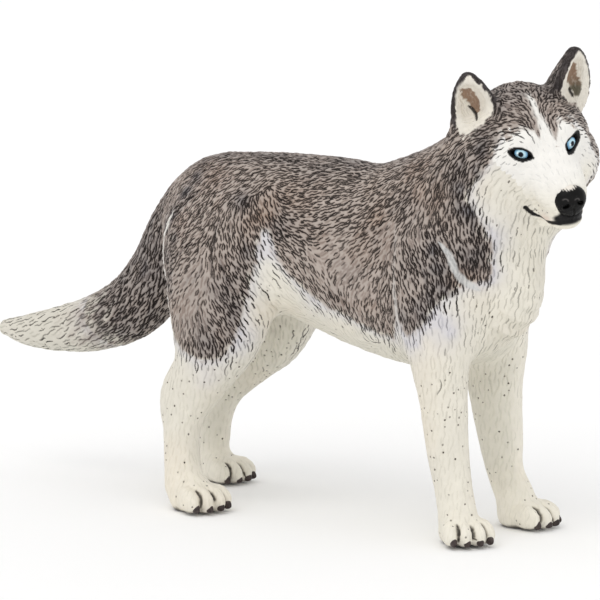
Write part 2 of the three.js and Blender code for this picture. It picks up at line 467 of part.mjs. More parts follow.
const pawTop = [[0, 0, PAW_TOP], [0, 0, 1]];
for (const k of Object.keys(legPlanes)) add(k, body([...legPlanes[k], pawTop]), k.startsWith('fore') ? COAT.white : COAT.grey);
for (const k of Object.keys(PAWS)) {
  const [end, hand] = k.split('_');
  let s = body([...legPlanes[`${end === 'front' ? 'foreleg' : 'hindleg'}_${hand}`], flip(pawTop)]);
  for (const g of pockets.paw[k]) s = s.subtract(solid(g));
  add(`paw_${k}`, s, COAT.white);
}
for (const k of ['right', 'left']) add(`eye_${k}`, solid(eyes[k]), 0x9cc4e4, 0.15);
add('nose', solid(nose), 0x1d1b1c, 0.35);
for (const [k, g] of Object.entries(claws)) add(k, solid(g), 0x3b3533, 0.5);

const group = new THREE.Group();
group.name = 'husky_figurine';
for (const { name, geometry, color, roughness } of parts) {
  const mesh = new THREE.Mesh(geometry, new THREE.MeshStandardMaterial({ color, roughness, metalness: 0 }));
  mesh.name = name;
  mesh.position.set(...CENTRE_SHIFT);
  group.add(mesh);
}
export default group;
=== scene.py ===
"""A small moulded husky figurine, painted by hand: one smooth skin, a sculpted coat laid over it in
pieces, glossy eyes and nose, dark claws, on a plain pale floor.

Everything is worked out in millimetres in the sculpt's own frame (head towards +X, the dog's left
towards +Y) and moved by SHIFT into the shared frame when a mesh is made.
"""

import math

import bpy
import numpy as np
from mathutils import Matrix, Vector
from mathutils.kdtree import KDTree


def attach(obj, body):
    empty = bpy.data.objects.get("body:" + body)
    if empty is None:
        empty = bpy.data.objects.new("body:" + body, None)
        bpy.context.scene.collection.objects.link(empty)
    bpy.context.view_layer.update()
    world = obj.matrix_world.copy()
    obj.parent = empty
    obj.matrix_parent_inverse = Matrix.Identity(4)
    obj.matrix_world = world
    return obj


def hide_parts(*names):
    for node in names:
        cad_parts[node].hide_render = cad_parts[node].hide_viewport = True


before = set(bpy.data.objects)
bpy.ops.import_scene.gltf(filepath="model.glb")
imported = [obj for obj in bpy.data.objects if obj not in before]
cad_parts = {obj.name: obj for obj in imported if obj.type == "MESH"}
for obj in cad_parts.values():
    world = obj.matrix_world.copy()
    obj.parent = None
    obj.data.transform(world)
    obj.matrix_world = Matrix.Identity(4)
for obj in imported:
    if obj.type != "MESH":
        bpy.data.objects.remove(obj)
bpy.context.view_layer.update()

# ---------------------------------------------------------------- sizes, in millimetres and degrees
MM = 0.001
SHIFT = np.array([9.95, 2.07, 0.0])
CHART = np.array([9.8, 0.85, 0.0])  # the places in the tables below are given from this corner
GRID = 0.54  # spacing of the base net
FINE = 4  # each base facet is split FINE x FINE
SKIN_DEPTH = 0.37  # the skin lies this far under the coat
EAR_SKIN_DEPTH = 0.16
SKIRT = 0.40  # the rim of each coat piece is turned in by this much

HEAD_AT = np.array([30.7, 0.3, 54.8])
HEAD_TURN = (13.3, 12.0, -35.0)
EYES_AT = {-1: (6.45, -3.19, 0.23), 1: (6.7, 2.7, -0.05)}
EYE_SIZE = (1.15, 1.5, 0.98)
EYE_OUT, EYE_TILT = 34.0, 13.0
NOSE_AT = (12.75, 0.2, -5.6)
NOSE_SIZE = (1.6, 2.2, 2.2)
NOSE_PITCH = 12.0
EAR_H, EAR_D, EAR_OUT = 9.1, 3.6, 33.0
EARS = {-1: ((-1.7, 6.3, 2.0), (0.4, 7.4, 10.5)), 1: ((-2.4, 7.1, 2.0), (0.6, 7.9, 10.2))}
EAR_SHAPE = {-1: (3.3, 2.1), 1: (4.35, 1.7)}  # half width at the root, and how late it narrows
PAWS = {
    "front_right": (26.2, -7.7, -33.0, 0.98),
    "front_left": (26.2, 7.3, 4.0, 1.0),
    "hind_right": (-16.5, -11.9, -12.0, 1.04),
    "hind_left": (-27.4, 7.3, -4.0, 1.0),
}
TOES = ((-2.5, 1.2), (-0.9, 1.9), (0.9, 1.9), (2.5, 1.2))
CLAW_SIZE = (0.75, 0.52, 0.68)
CLAW_FORWARD, CLAW_UP, CLAW_DROOP = 1.95, 1.0, 20.0

TRUNK = (
    (-26.5, 0, 40.0, 3.5, 5.2, 0), (-22.5, 0, 39.3, 7.4, 9.6, -0.05), (-16, 0, 38.3, 8.6, 11.3, -0.05),
    (-8, 0, 38.5, 8.3, 11.35, -0.1), (0, 0, 37.5, 8.8, 12.3, -0.1), (8, 0, 35.95, 9.8, 12.85, -0.12),
    (15, 0, 36.0, 10.1, 13.9, -0.15), (21, 0, 36.3, 9.0, 13.0, -0.12), (25.6, -0.7, 36.4, 5.9, 9.9, -0.05),
    (28.2, -1.0, 38.8, 3.2, 6.0, 0),
)
NECK = (
    (13, 0, 41.4, 7.8, 8.6), (18, 0, 43.3, 8.2, 9.0), (23, 0, 46.1, 8.5, 9.0),
    (27.8, 0.2, 50.3, 8.5, 8.4),
)
THROAT = ((27.9, 0.8, 44.2), (5.0, 6.9, 8.0))
TAIL = (
    (-20, 0, 45.0, 3.2, 3.6), (-26, 0, 42.2, 3.8, 4.2), (-29.7, -0.3, 37.5, 3.9, 4.4),
    (-32.3, -0.8, 31.4, 4.2, 4.9), (-36.8, -1.4, 26.3, 4.3, 4.8), (-43, -1.9, 23.3, 4.1, 4.2),
    (-50, -2.2, 21.7, 3.4, 3.4), (-56.5, -2.3, 20.9, 2.4, 2.4), (-61.3, -2.4, 20.9, 1.15, 1.2),
)
FORE_RIGHT = (
    (19.8, -3.4, 43, 2.6, 4.2), (20.8, -6.0, 38, 4.4, 7.3), (21.2, -6.8, 31, 4.5, 6.1),
    (21.8, -7.3, 25, 3.7, 4.3), (22.6, -7.4, 19, 3.15, 3.3), (23.4, -7.4, 12, 2.75, 2.85),
    (24.4, -7.5, 7.5, 2.45, 2.6), (25.1, -7.6, 4.2, 2.4, 2.7),
)
FORE_LEFT = (
    (19.5, 3.4, 43, 2.6, 4.2), (19.9, 5.7, 38, 4.3, 6.0), (20.2, 6.8, 31, 4.2, 5.7),
    (20.5, 7.2, 25, 3.9, 5.0), (20.7, 7.4, 19, 3.55, 3.85), (21.5, 7.6, 12, 3.0, 3.15),
    (22.6, 7.2, 7.5, 2.4, 2.6), (24.2, 7.2, 4.2, 2.5, 2.7),
)
HIND_RIGHT = (
    (-18.0, -3.0, 43, 2.6, 6.0), (-17.2, -5.2, 38, 4.9, 9.6), (-15.9, -6.9, 31, 4.9, 9.3),
    (-16.3, -7.8, 25, 4.3, 7.5), (-18.3, -8.2, 19.5, 3.5, 4.8), (-21.0, -8.9, 15.0, 2.9, 4.1),
    (-20.9, -9.9, 11, 2.45, 2.8), (-20.0, -10.9, 6.5, 2.45, 2.65), (-19.1, -11.6, 3.6, 2.6, 2.9),
)
HIND_LEFT = (
    (-18.0, 3.0, 43, 2.6, 6.0), (-17.3, 5.2, 38, 4.8, 9.2), (-16.0, 7.0, 31, 4.6, 7.6),
    (-18.7, 7.8, 24, 4.1, 6.1), (-22.8, 8.0, 19.5, 3.4, 4.6), (-27.4, 8.0, 14.8, 2.8, 3.5),
    (-29.4, 8.0, 10.5, 2.4, 2.8), (-30.0, 7.8, 6.0, 2.4, 2.7), (-30.2, 7.7, 3.6, 2.5, 2.8),
)

# ---------------------------------------------------------------- the paints, as display colours 0-255
CREAM = (238, 233, 219)
TAUPE = (159, 145, 136)
PALE_TAUPE = (182, 168, 159)
CHARCOAL = (68, 67, 74)
WARM = (142, 112, 90)
INK = (27, 20, 16)
LAVENDER = (208, 206, 212)
BROWN = (150, 128, 110)
BLACK = (20, 19, 20)
ROSE = (222, 196, 182)
SPECK = (78, 70, 62)


# ---------------------------------------------------------------- small tools
F = np.float32
FAR = 8.0


def linear(rgb):
    c = np.asarray(rgb, float) / 255
    return np.where(c <= 0.04045, c / 12.92, ((c + 0.055) / 1.055) ** 2.4)


def smooth(a, b, x):
    t = np.clip((x - a) / (b - a), 0, 1)
    return t * t * (3 - 2 * t)


def turn(rx, ry, rz):
    rx, ry, rz = np.radians([rx, ry, rz])
    cx, sx, cy, sy, cz, sz = np.cos(rx), np.sin(rx), np.cos(ry), np.sin(ry), np.cos(rz), np.sin(rz)
    X = np.array([[1, 0, 0], [0, cx, -sx], [0, sx, cx]])
    Y = np.array([[cy, 0, sy], [0, 1, 0], [-sy, 0, cy]])
    Z = np.array([[cz, -sz, 0], [sz, cz, 0], [0, 0, 1]])
    return Z @ Y @ X


def unit(v):
    return v / np.maximum(np.linalg.norm(v, axis=-1, keepdims=True), 1e-12)


def noise(P, scale, seed=0):
    """Smooth lattice noise between -1 and 1."""
    q = np.asarray(P, float) / scale
    i = np.floor(q).astype(np.int64)
    f = q - i
    f = f * f * (3 - 2 * f)
    out = np.zeros(len(q))
    for a in (0, 1):
        for b in (0, 1):
            for c in (0, 1):
                n = (i[:, 0] + a) * 73856093 ^ (i[:, 1] + b) * 19349663 ^ (i[:, 2] + c) * 83492791 ^ (seed * 2654435761)
                n &= 0xFFFFFFFF
                n = (n ^ (n >> 15)) * 2246822519 & 0xFFFFFFFF
                n = (n ^ (n >> 13)) * 3266489917 & 0xFFFFFFFF
                n ^= n >> 16
                w = (f[:, 0] if a else 1 - f[:, 0]) * (f[:, 1] if b else 1 - f[:, 1]) * (f[:, 2] if c else 1 - f[:, 2])
                out += w * (n / 2147483647.5 - 1)
    return out


# ---------------------------------------------------------------- the sculpt: a signed distance
def smin(a, b, k):
    if a is None:
        return b
    if b is None:
        return a
    h = np.maximum(k - np.abs(a - b), 0) / k
    return np.minimum(a, b) - h * h * (k * 0.25)


def smax(a, b, k):
    if a is None:
        return None
    return -smin(-a, -b, k)


def blob(P, c, r, R=None):
    c = np.array(c, F)
    gap = np.maximum(P.min(0) - c, c - P.max(0)).max()
    if gap > max(r) + FAR:
        return None
    q = P - c
    if R is not None:
        q = q @ R.astype(F)
    r = np.array(r, F)
    k0 = np.sqrt(((q / r) ** 2).sum(1))
    return k0 * (k0 - 1) / (np.sqrt(((q / (r * r)) ** 2).sum(1)) + 1e-9)


def catmull(S, n):
    S = np.array(S, float)
    out = []
    for i in range(len(S) - 1):
        p0 = S[i - 1] if i else 2 * S[0] - S[1]
        p1, p2 = S[i], S[i + 1]
        p3 = S[i + 2] if i + 2 < len(S) else 2 * S[-1] - S[-2]
        for k in range(n):
            t = k / n
            out.append(0.5 * (2 * p1 + (p2 - p0) * t + (2 * p0 - 5 * p1 + 4 * p2 - p3) * t * t + (3 * p1 - p0 - 3 * p2 + p3) * t**3))
    out.append(S[-1])
    return np.array(out)


class Limb:
    """Lengths of tapered ellipse along a smooth line of stations (x, y, z, half width, half height, egg)."""

    def __init__(self, stations, n=5):
        S = catmull([list(s) + [0] * (6 - len(s)) for s in stations], n)
        A, B = S[:-1, :3], S[1:, :3]
        T = B - A
        L = np.linalg.norm(T, axis=1)
        T /= L[:, None]
        s = unit(np.array([0.0, 1, 0]) - T[:, 1:2] * T)
        self.parts = list(zip(A.astype(F), T.astype(F), L.astype(F), s.astype(F), np.cross(T, s).astype(F), S[:-1, 3:].astype(F), S[1:, 3:].astype(F)))
        big = np.maximum(S[:-1, 3:5].max(1), S[1:, 3:5].max(1))[:, None] + 0.5
        self.lo, self.hi = np.minimum(A, B) - big - FAR * 0.75, np.maximum(A, B) + big + FAR * 0.75
        self.S = S

    def __call__(self, P):
        lo, hi = P.min(0), P.max(0)
        best = None
        for i in np.nonzero(((self.lo < hi) & (self.hi > lo)).all(1))[0]:
            A, T, L, s, N, R0, R1 = self.parts[i]
            d = P - A
            t = d @ T
            tc = np.clip(t, 0, L)
            u = tc / L
            ra = R0[0] + (R1[0] - R0[0]) * u
            rb = R0[1] + (R1[1] - R0[1]) * u
            side, n = d @ s, d @ N
            if R0[2] or R1[2]:
                ra = ra * (1 + (R0[2] + (R1[2] - R0[2]) * u) * np.clip(n / rb, -1, 1))
            rm = np.minimum(ra, rb)
            a, b, c = side / ra, n / rb, (t - tc) / rm
            k0 = np.sqrt(a * a + b * b + c * c)
            f = k0 * (k0 - 1) / (np.sqrt((a / ra) ** 2 + (b / rb) ** 2 + (c / rm) ** 2) + 1e-9)
            best = f if best is None else np.minimum(best, f)
        return best


HEAD_R = turn(*HEAD_TURN)


def to_head(P):
    return (P - HEAD_AT.astype(P.dtype)) @ HEAD_R.astype(P.dtype)


def from_head(p):
    return np.asarray(p) @ HEAD_R.T + HEAD_AT


def ear_frame(side):
    """Foot and axes (facing, outward, up) of an ear in the head frame, as if it were the left one."""
    foot, tip = (np.array(v, float) for v in EARS[side])
    up = unit(tip - foot)
    foot = tip - up * EAR_H
    o = math.radians(EAR_OUT)
    face = np.array([math.cos(o), math.sin(o), 0.0])
    face = unit(face - face @ up * up)
    return foot, np.stack([face, np.cross(up, face), up], 1)


def ear_local(q, side):
    foot, R = ear_frame(side)
    return ((q * np.array([1, side, 1], q.dtype)) - foot.astype(q.dtype)) @ R.astype(q.dtype)


def ear(q, side):
    foot = ear_frame(side)[0] * np.array([1, side, 1])
    gap = np.maximum(q.min(0) - foot, foot - q.max(0)).max()
    if gap > EAR_H + 5:
        return None
    e = ear_local(q, side)
    z = e[:, 2]
    tc = np.clip(z / EAR_H, 0, 0.999)
    wide = EAR_SHAPE[side][0] * (1 - tc ** EAR_SHAPE[side][1]) ** 0.75 + 0.2
    deep = EAR_D * (1 - tc) ** 0.9 + 0.75
    tb = np.clip(-z / 4.0, 0, 0.97)
    low = np.sqrt(1 - tb * tb)
    wide, deep = wide * low, deep * low
    b = np.where(e[:, 0] < 0, e[:, 0] / deep, e[:, 0] / (0.35 * deep + 0.6))
    f = (np.sqrt((e[:, 1] / wide) ** 2 + b * b) - 1) * np.minimum(wide, deep) * 0.75
    f = smax(smax(f, z - EAR_H, 0.8), -z - 4, 0.6)
    f = smax(f, e[:, 0] - 0.45, 0.5)
    r = np.array([1.9, 2.0, EAR_H * 0.43], F)
    g = e - np.array([0.9, 0.0, EAR_H * 0.41], F)
    k0 = np.sqrt(((g / r) ** 2).sum(1))
    g = k0 * (k0 - 1) / (np.sqrt(((g / (r * r)) ** 2).sum(1)) + 1e-9)
    return smax(f, -g, 0.4)


def head(q):
    f = blob(q, (-1.0, -0.7, 0.55), (7.6, 6.5, 6.0))
    f = smin(f, blob(q, (1.2, 0, -3.2), (6.4, 6.9, 5.4)), 3.0)
    for s in (-1, 1):
        f = smin(f, blob(q, (0.4, s * 5.2, -4.7), (4.7, 3.6, 4.2)), 2.6)
        f = smin(f, blob(q, (5.7, s * 2.5, 1.3), (1.9, 1.9, 1.3)), 1.6)
        f = smin(f, blob(q, (1.2, s * 4.5, 0.3), (3.2, 2.9, 2.4)), 1.6)
        f = smin(f, blob(q, (4.3, s * 4.5, -0.9), (2.5, 2.1, 1.8)), 1.4)
    f = smin(f, blob(q, (8.0, 0, -3.3), (5.2, 3.7, 3.3), turn(0, 30, 0)), 2.2)
    f = smin(f, blob(q, (10.8, 0, -5.2), (3.3, 2.9, 2.5), turn(0, 22, 0)), 1.6)
    f = smin(f, blob(q, (8.8, 0, -7.9), (4.4, 2.7, 2.1), turn(0, 10, 0)), 1.2)
    return smin(f, blob(q, (1.9, 0.5, -9.4), (4.4, 4.4, 3.6)), 2.6)


def paw(P, x, y, yaw, size):
    at = np.array([x, y, 0.0])
    if np.maximum(P.min(0) - at, at - P.max(0)).max() > 12:
        return None
    q = (P - at.astype(F)) @ turn(0, 0, yaw).astype(F) / F(size)
    f = blob(q, (-1.1, 0, 1.9), (3.2, 3.0, 2.9))
    for ty, tx in TOES:
        s = 1 if abs(ty) < 2 else 0.94
        f = smin(f, blob(q, (tx, ty, 1.9), (2.6 * s, 1.12 * s, 1.75 * s), turn(0, 12, ty * 4)), 0.55)
    return None if f is None else smax(f, -q[:, 2], 0.3) * F(size)


LIMBS = {
    "trunk": Limb(TRUNK), "neck": Limb(NECK), "tail": Limb(TAIL),
    "foreleg_right": Limb(FORE_RIGHT), "foreleg_left": Limb(FORE_LEFT),
    "hindleg_right": Limb(HIND_RIGHT), "hindleg_left": Limb(HIND_LEFT),
}


def body(P):
    f = LIMBS["trunk"](P)
    f = smin(f, LIMBS["neck"](P), 3.5)
    f = smin(f, blob(P, *THROAT), 4.0)
    q = to_head(P)
    h = head(q)
    for s in (-1, 1):
        h = smin(h, ear(q, s), 0.9)
    f = smin(f, h, 2.6)
    # the coat ends in a shallow seat under the nose pad
    seat = blob(q, (NOSE_AT[0] + 0.35, NOSE_AT[1], NOSE_AT[2] + 0.05), (1.55, 1.95, 1.95), turn(0, NOSE_PITCH, 0))
    if f is not None and seat is not None:
        f = smax(f, -seat, 0.25)
    f = smin(f, LIMBS["tail"](P), 1.5)
    for name in ("foreleg_right", "foreleg_left", "hindleg_right", "hindleg_left"):
        f = smin(f, LIMBS[name](P), 3.0)
    for x, y, yaw, size in PAWS.values():
        f = smin(f, paw(P, x, y, yaw, size), 0.9)
    if f is None:
        return np.full(len(P), FAR, F)
    return smax(f, -P[:, 2], 0.2)


def sample(P, cell=8.0):
    """body() at many points, worked in small cells so that far pieces are skipped."""
    P = np.asarray(P, F)
    k = np.floor(P / cell).astype(np.int64) + 64
    k = (k[:, 0] * 256 + k[:, 1]) * 256 + k[:, 2]
    order = np.argsort(k, kind="stable")
    cuts = np.nonzero(np.diff(k[order]))[0] + 1
    out = np.empty(len(P), F)
    for part in np.split(order, cuts):
        out[part] = body(P[part])
    return out


def net(lo, hi, h, block=4, safe=1.5):
    """The sculpt's surface as quads with their faces out."""
    lo, hi = np.array(lo, float), np.array(hi, float)
    nb = np.ceil((hi - lo) / (h * block)).astype(int)
    n = nb * block + 1
    ax = [lo[i] + h * block * (np.arange(nb[i]) + 0.5) for i in range(3)]
    C = np.stack(np.meshgrid(*ax, indexing="ij"), -1).reshape(-1, 3)
    fc = sample(C).reshape(nb)
    near = np.abs(fc) < h * block * math.sqrt(3) / 2 * safe

    def grow(a):
        return np.repeat(np.repeat(np.repeat(a, block, 0), block, 1), block, 2)

    D = np.full(n, FAR, F)
    D[:-1, :-1, :-1] = grow(np.where(fc > 0, FAR, -FAR).astype(F))
    mark, m = np.zeros(n, bool), grow(near)
    for i in (0, 1):
        for j in (0, 1):
            for k in (0, 1):
                mark[i : n[0] - 1 + i, j : n[1] - 1 + j, k : n[2] - 1 + k] |= m
    D[mark] = sample(lo + np.argwhere(mark) * h)
    n = np.array(D.shape)
    acc, cnt = np.zeros(tuple(n - 1) + (3,), F), np.zeros(tuple(n - 1), np.int16)
    crossings = []
    for ax in range(3):
        a = D[tuple(slice(0, -1) if i == ax else slice(None) for i in range(3))]
        b = D[tuple(slice(1, None) if i == ax else slice(None) for i in range(3))]
        cross = (a < 0) != (b < 0)
        idx = np.argwhere(cross)
        inside = (a < 0)[cross]
        pos = idx.astype(F)
        pos[:, ax] += a[cross] / (a[cross] - b[cross])
        o = [(ax + 1) % 3, (ax + 2) % 3]
        crossings.append((idx, inside, o))
        for d0 in (0, -1):
            for d1 in (0, -1):
                c = idx.copy()
                c[:, o[0]] += d0
                c[:, o[1]] += d1
                ok = ((c >= 0) & (c < n - 1)).all(1)
                c = c[ok]
                np.add.at(acc, (c[:, 0], c[:, 1], c[:, 2]), pos[ok])
                np.add.at(cnt, (c[:, 0], c[:, 1], c[:, 2]), 1)
    cells = np.argwhere(cnt > 0)
    where = (cells[:, 0], cells[:, 1], cells[:, 2])
    vid = np.full(cnt.shape, -1, np.int64)
    vid[where] = np.arange(len(cells))
    V = lo + acc[where] / cnt[where][:, None] * h
    Q = []
    for idx, inside, o in crossings:
        q = []
        for d0, d1 in ((-1, -1), (0, -1), (0, 0), (-1, 0)):
            c = idx.copy()
            c[:, o[0]] += d0
            c[:, o[1]] += d1
            q.append(c)
        ok = np.ones(len(idx), bool)
        for c in q:
            ok &= ((c >= 0) & (c < n - 1)).all(1)
        ids = np.stack([vid[tuple(c[ok].T)] for c in q], 1)
        ids[~inside[ok]] = ids[~inside[ok]][:, ::-1]
        Q.append(ids)
    return V, np.concatenate(Q)


def normals(V, Q):
    n = np.cross(V[Q[:, 2]] - V[Q[:, 0]], V[Q[:, 3]] - V[Q[:, 1]])
    out = np.stack([sum(np.bincount(Q[:, i], n[:, k], len(V)) for i in range(4)) for k in range(3)], 1)
    return unit(out)


def edges(Q):
    e = np.sort(np.concatenate([Q[:, [0, 1]], Q[:, [1, 2]], Q[:, [2, 3]], Q[:, [3, 0]]]), 1)
    n = int(Q.max()) + 1
    key, inverse = np.unique(e[:, 0] * n + e[:, 1], return_inverse=True)
    return np.stack([key // n, key % n], 1), inverse


def even_out(V, E, rounds, weight=None, pull=0.5, push=-0.53):
    """Taubin smoothing."""
    n = len(V)
    deg = np.bincount(E.ravel(), minlength=n)[:, None]
    w = 1 if weight is None else weight[:, None]
    for k in range(rounds * 2):
        s = np.stack([np.bincount(E[:, 0], V[E[:, 1], c], n) + np.bincount(E[:, 1], V[E[:, 0], c], n) for c in range(3)], 1)
        V = V + w * (pull if k % 2 == 0 else push) * (s / deg - V)
    return V


BASE_V, BASE_Q = net((-66, -17, -1), (50, 17, 70), GRID)
for _ in range(2):
    eps = 0.05
    g = np.stack([(sample(BASE_V + d) - sample(BASE_V - d)) / (2 * eps) for d in np.eye(3) * eps], 1)
    BASE_V = BASE_V - (sample(BASE_V) / np.maximum((g * g).sum(1), 0.2))[:, None] * g
BASE_E, BASE_INV = edges(BASE_Q)
BASE_V = even_out(BASE_V, BASE_E, 3)
BASE_V[:, 2] = np.maximum(BASE_V[:, 2], 0.0)
BASE_N = normals(BASE_V, BASE_Q)
print("base", len(BASE_V), len(BASE_Q))


# ---------------------------------------------------------------- the fine net
def split(Q, E, inverse, n, k):
    """Ids of the (k+1) x (k+1) grid of fine points on each base facet."""
    m = len(Q)
    G = np.empty((m, k + 1, k + 1), np.int64)
    G[:, 0, 0], G[:, k, 0], G[:, k, k], G[:, 0, k] = Q.T
    t = np.arange(1, k)
    sides = inverse.reshape(4, m)
    for s, (a, b) in enumerate(((0, 1), (1, 2), (2, 3), (3, 0))):
        forward = (Q[:, a] < Q[:, b])[:, None]
        ids = n + sides[s][:, None] * (k - 1) + np.where(forward, t - 1, k - 1 - t)
        if s == 0:
            G[:, 1:k, 0] = ids
        elif s == 1:
            G[:, k, 1:k] = ids
        elif s == 2:
            G[:, 1:k, k] = ids[:, ::-1]
        else:
            G[:, 0, 1:k] = ids[:, ::-1]
    start = n + len(E) * (k - 1)
    G[:, 1:k, 1:k] = start + np.arange(m * (k - 1) ** 2).reshape(m, k - 1, k - 1)
    return G, start + m * (k - 1) ** 2


GRIDS, FINE_COUNT = split(BASE_Q, BASE_E, BASE_INV, len(BASE_V), FINE)
_u = np.arange(FINE + 1) / FINE
_a, _b = np.meshgrid(_u, _u, indexing="ij")
WEIGHTS = np.stack([(1 - _a) * (1 - _b), _a * (1 - _b), _a * _b, (1 - _a) * _b], -1)


def spread(values):
    """Values at the base points, carried to the fine points."""
    values = np.asarray(values, float)
    flat = values.reshape(len(values), -1)
    out = np.empty((FINE_COUNT, flat.shape[1]))
    for c in range(flat.shape[1]):
        out[GRIDS, c] = np.einsum("abi,mi->mab", WEIGHTS, flat[BASE_Q, c])
    return out[:, 0] if values.ndim == 1 else out


def rounded(V, N, amount=0.62):
    out = np.empty((FINE_COUNT, 3))
    corner, nor = V[BASE_Q], N[BASE_Q]
    P = np.einsum("abi,mic->mabc", WEIGHTS, corner)
    lift = np.zeros_like(P)
    for i in range(4):
        n = nor[:, i][:, None, None]
        d = ((P - corner[:, i][:, None, None]) * n).sum(-1, keepdims=True)
        lift += WEIGHTS[..., i][None, ..., None] * d * n
    out[GRIDS] = P - amount * lift
    return out


FINE_V = rounded(BASE_V, BASE_N)
FINE_Q = np.stack([GRIDS[:, :-1, :-1], GRIDS[:, 1:, :-1], GRIDS[:, 1:, 1:], GRIDS[:, :-1, 1:]], -1).reshape(-1, 4)
FINE_E, _ = edges(FINE_Q)
FINE_V = even_out(FINE_V, FINE_E, 2)
FINE_N = normals(FINE_V, FINE_Q)
print("fine", len(FINE_V), len(FINE_Q))

# ---------------------------------------------------------------- which part a point belongs to
WORLD = BASE_V + CHART
BASE_H = to_head(BASE_V)
EAR_Z = {s: ear_local(BASE_H, s) for s in (-1, 1)}


def limb_distance(name, P):
    d = LIMBS[name](P.astype(F))
    return d


def distances(P):
    """How far each point is from each part's own shape, worked in cells."""
    P = np.asarray(P, F)
    names = list(LIMBS) + ["head"]
    out = {n: np.full(len(P), FAR, F) for n in names}
    k = np.floor(P / 8.0).astype(np.int64) + 64
    k = (k[:, 0] * 256 + k[:, 1]) * 256 + k[:, 2]
    order = np.argsort(k, kind="stable")
    for part in np.split(order, np.nonzero(np.diff(k[order]))[0] + 1):
        p = P[part]
        for n in LIMBS:
            d = LIMBS[n](p)
            if d is not None:
                out[n][part] = d
        q = to_head(p)
        d = head(q)
        for s in (-1, 1):
            d = smin(d, ear(q, s), 0.9)
        if d is not None:
            out["head"][part] = d
    return out


DIST = distances(BASE_V)

PIECES = ["head", "neck", "shoulders", "flanks", "loins", "rump", "tail", "foreleg_right", "foreleg_left", "hindleg_right", "hindleg_left"]


def label(C, D):
    """Piece number of each facet."""
    x, y, z = C.T
    h = to_head(C)
    out = np.full(len(C), PIECES.index("shoulders"))
    out[x < 14.5] = PIECES.index("flanks")
    out[x < 2.5] = PIECES.index("loins")
    out[x < -9.5] = PIECES.index("rump")
    torso = np.minimum(D["trunk"], D["neck"])
    neck = (x > 17.5) & (z > 41) & (z - 41 > (26.5 - x) * 0.55)
    out[neck] = PIECES.index("neck")
    on_head = (D["head"] < 0.6) & (h[:, 2] > -9.3 - 0.25 * h[:, 0]) & (h[:, 0] > -6.8)
    out[on_head | ((h[:, 2] > 3.5) & (h[:, 0] > -7) & (D["head"] < 1.5))] = PIECES.index("head")
    for name in ("foreleg_right", "foreleg_left"):
        side = -1 if name.endswith("right") else 1
        out[(z < 28.5) & (x > 12) & (y * side > 0) & ((D[name] < torso) | (z < 20))] = PIECES.index(name)
    for name in ("hindleg_right", "hindleg_left"):
        side = -1 if name.endswith("right") else 1
        leg = (z < 31.5) & (x < -3) & (y * side > 0) & ((D[name] < np.minimum(torso, D["tail"])) | (z < 12))
        out[leg & (D["tail"] > D[name])] = PIECES.index(name)
    tail = (D["tail"] < np.minimum(D["trunk"], np.minimum(D["hindleg_right"], D["hindleg_left"]))) & (x < -26)
    out[tail | (x < -36.5)] = PIECES.index("tail")
    return out


def face_mean(a):
    return a[BASE_Q].mean(1)


CENTRES = face_mean(BASE_V)
BASE_PIECE = label(CENTRES, {k: face_mean(v) for k, v in DIST.items()})


def tidy(lab, rounds=3):
    """Facets take the piece that most of their neighbours have, so that rims run clean."""
    m = len(lab)
    sides = BASE_INV.reshape(4, m)
    flat = sides.T.ravel()
    owner = np.repeat(np.arange(m), 4)
    order = np.argsort(flat, kind="stable")
    pair_a, pair_b = owner[order][0::2], owner[order][1::2]
    for _ in range(rounds):
        votes = np.zeros((m, len(PIECES)), int)
        np.add.at(votes, (np.arange(m), lab), 1)
        np.add.at(votes, (pair_a, lab[pair_b]), 1)
        np.add.at(votes, (pair_b, lab[pair_a]), 1)
        lab = votes.argmax(1)
    return lab


if (np.bincount(BASE_INV) == 2).all():
    BASE_PIECE = tidy(BASE_PIECE)
else:
    print("open or shared edges", np.bincount(np.bincount(BASE_INV)))
print("facets", {p: int((BASE_PIECE == i).sum()) for i, p in enumerate(PIECES)})

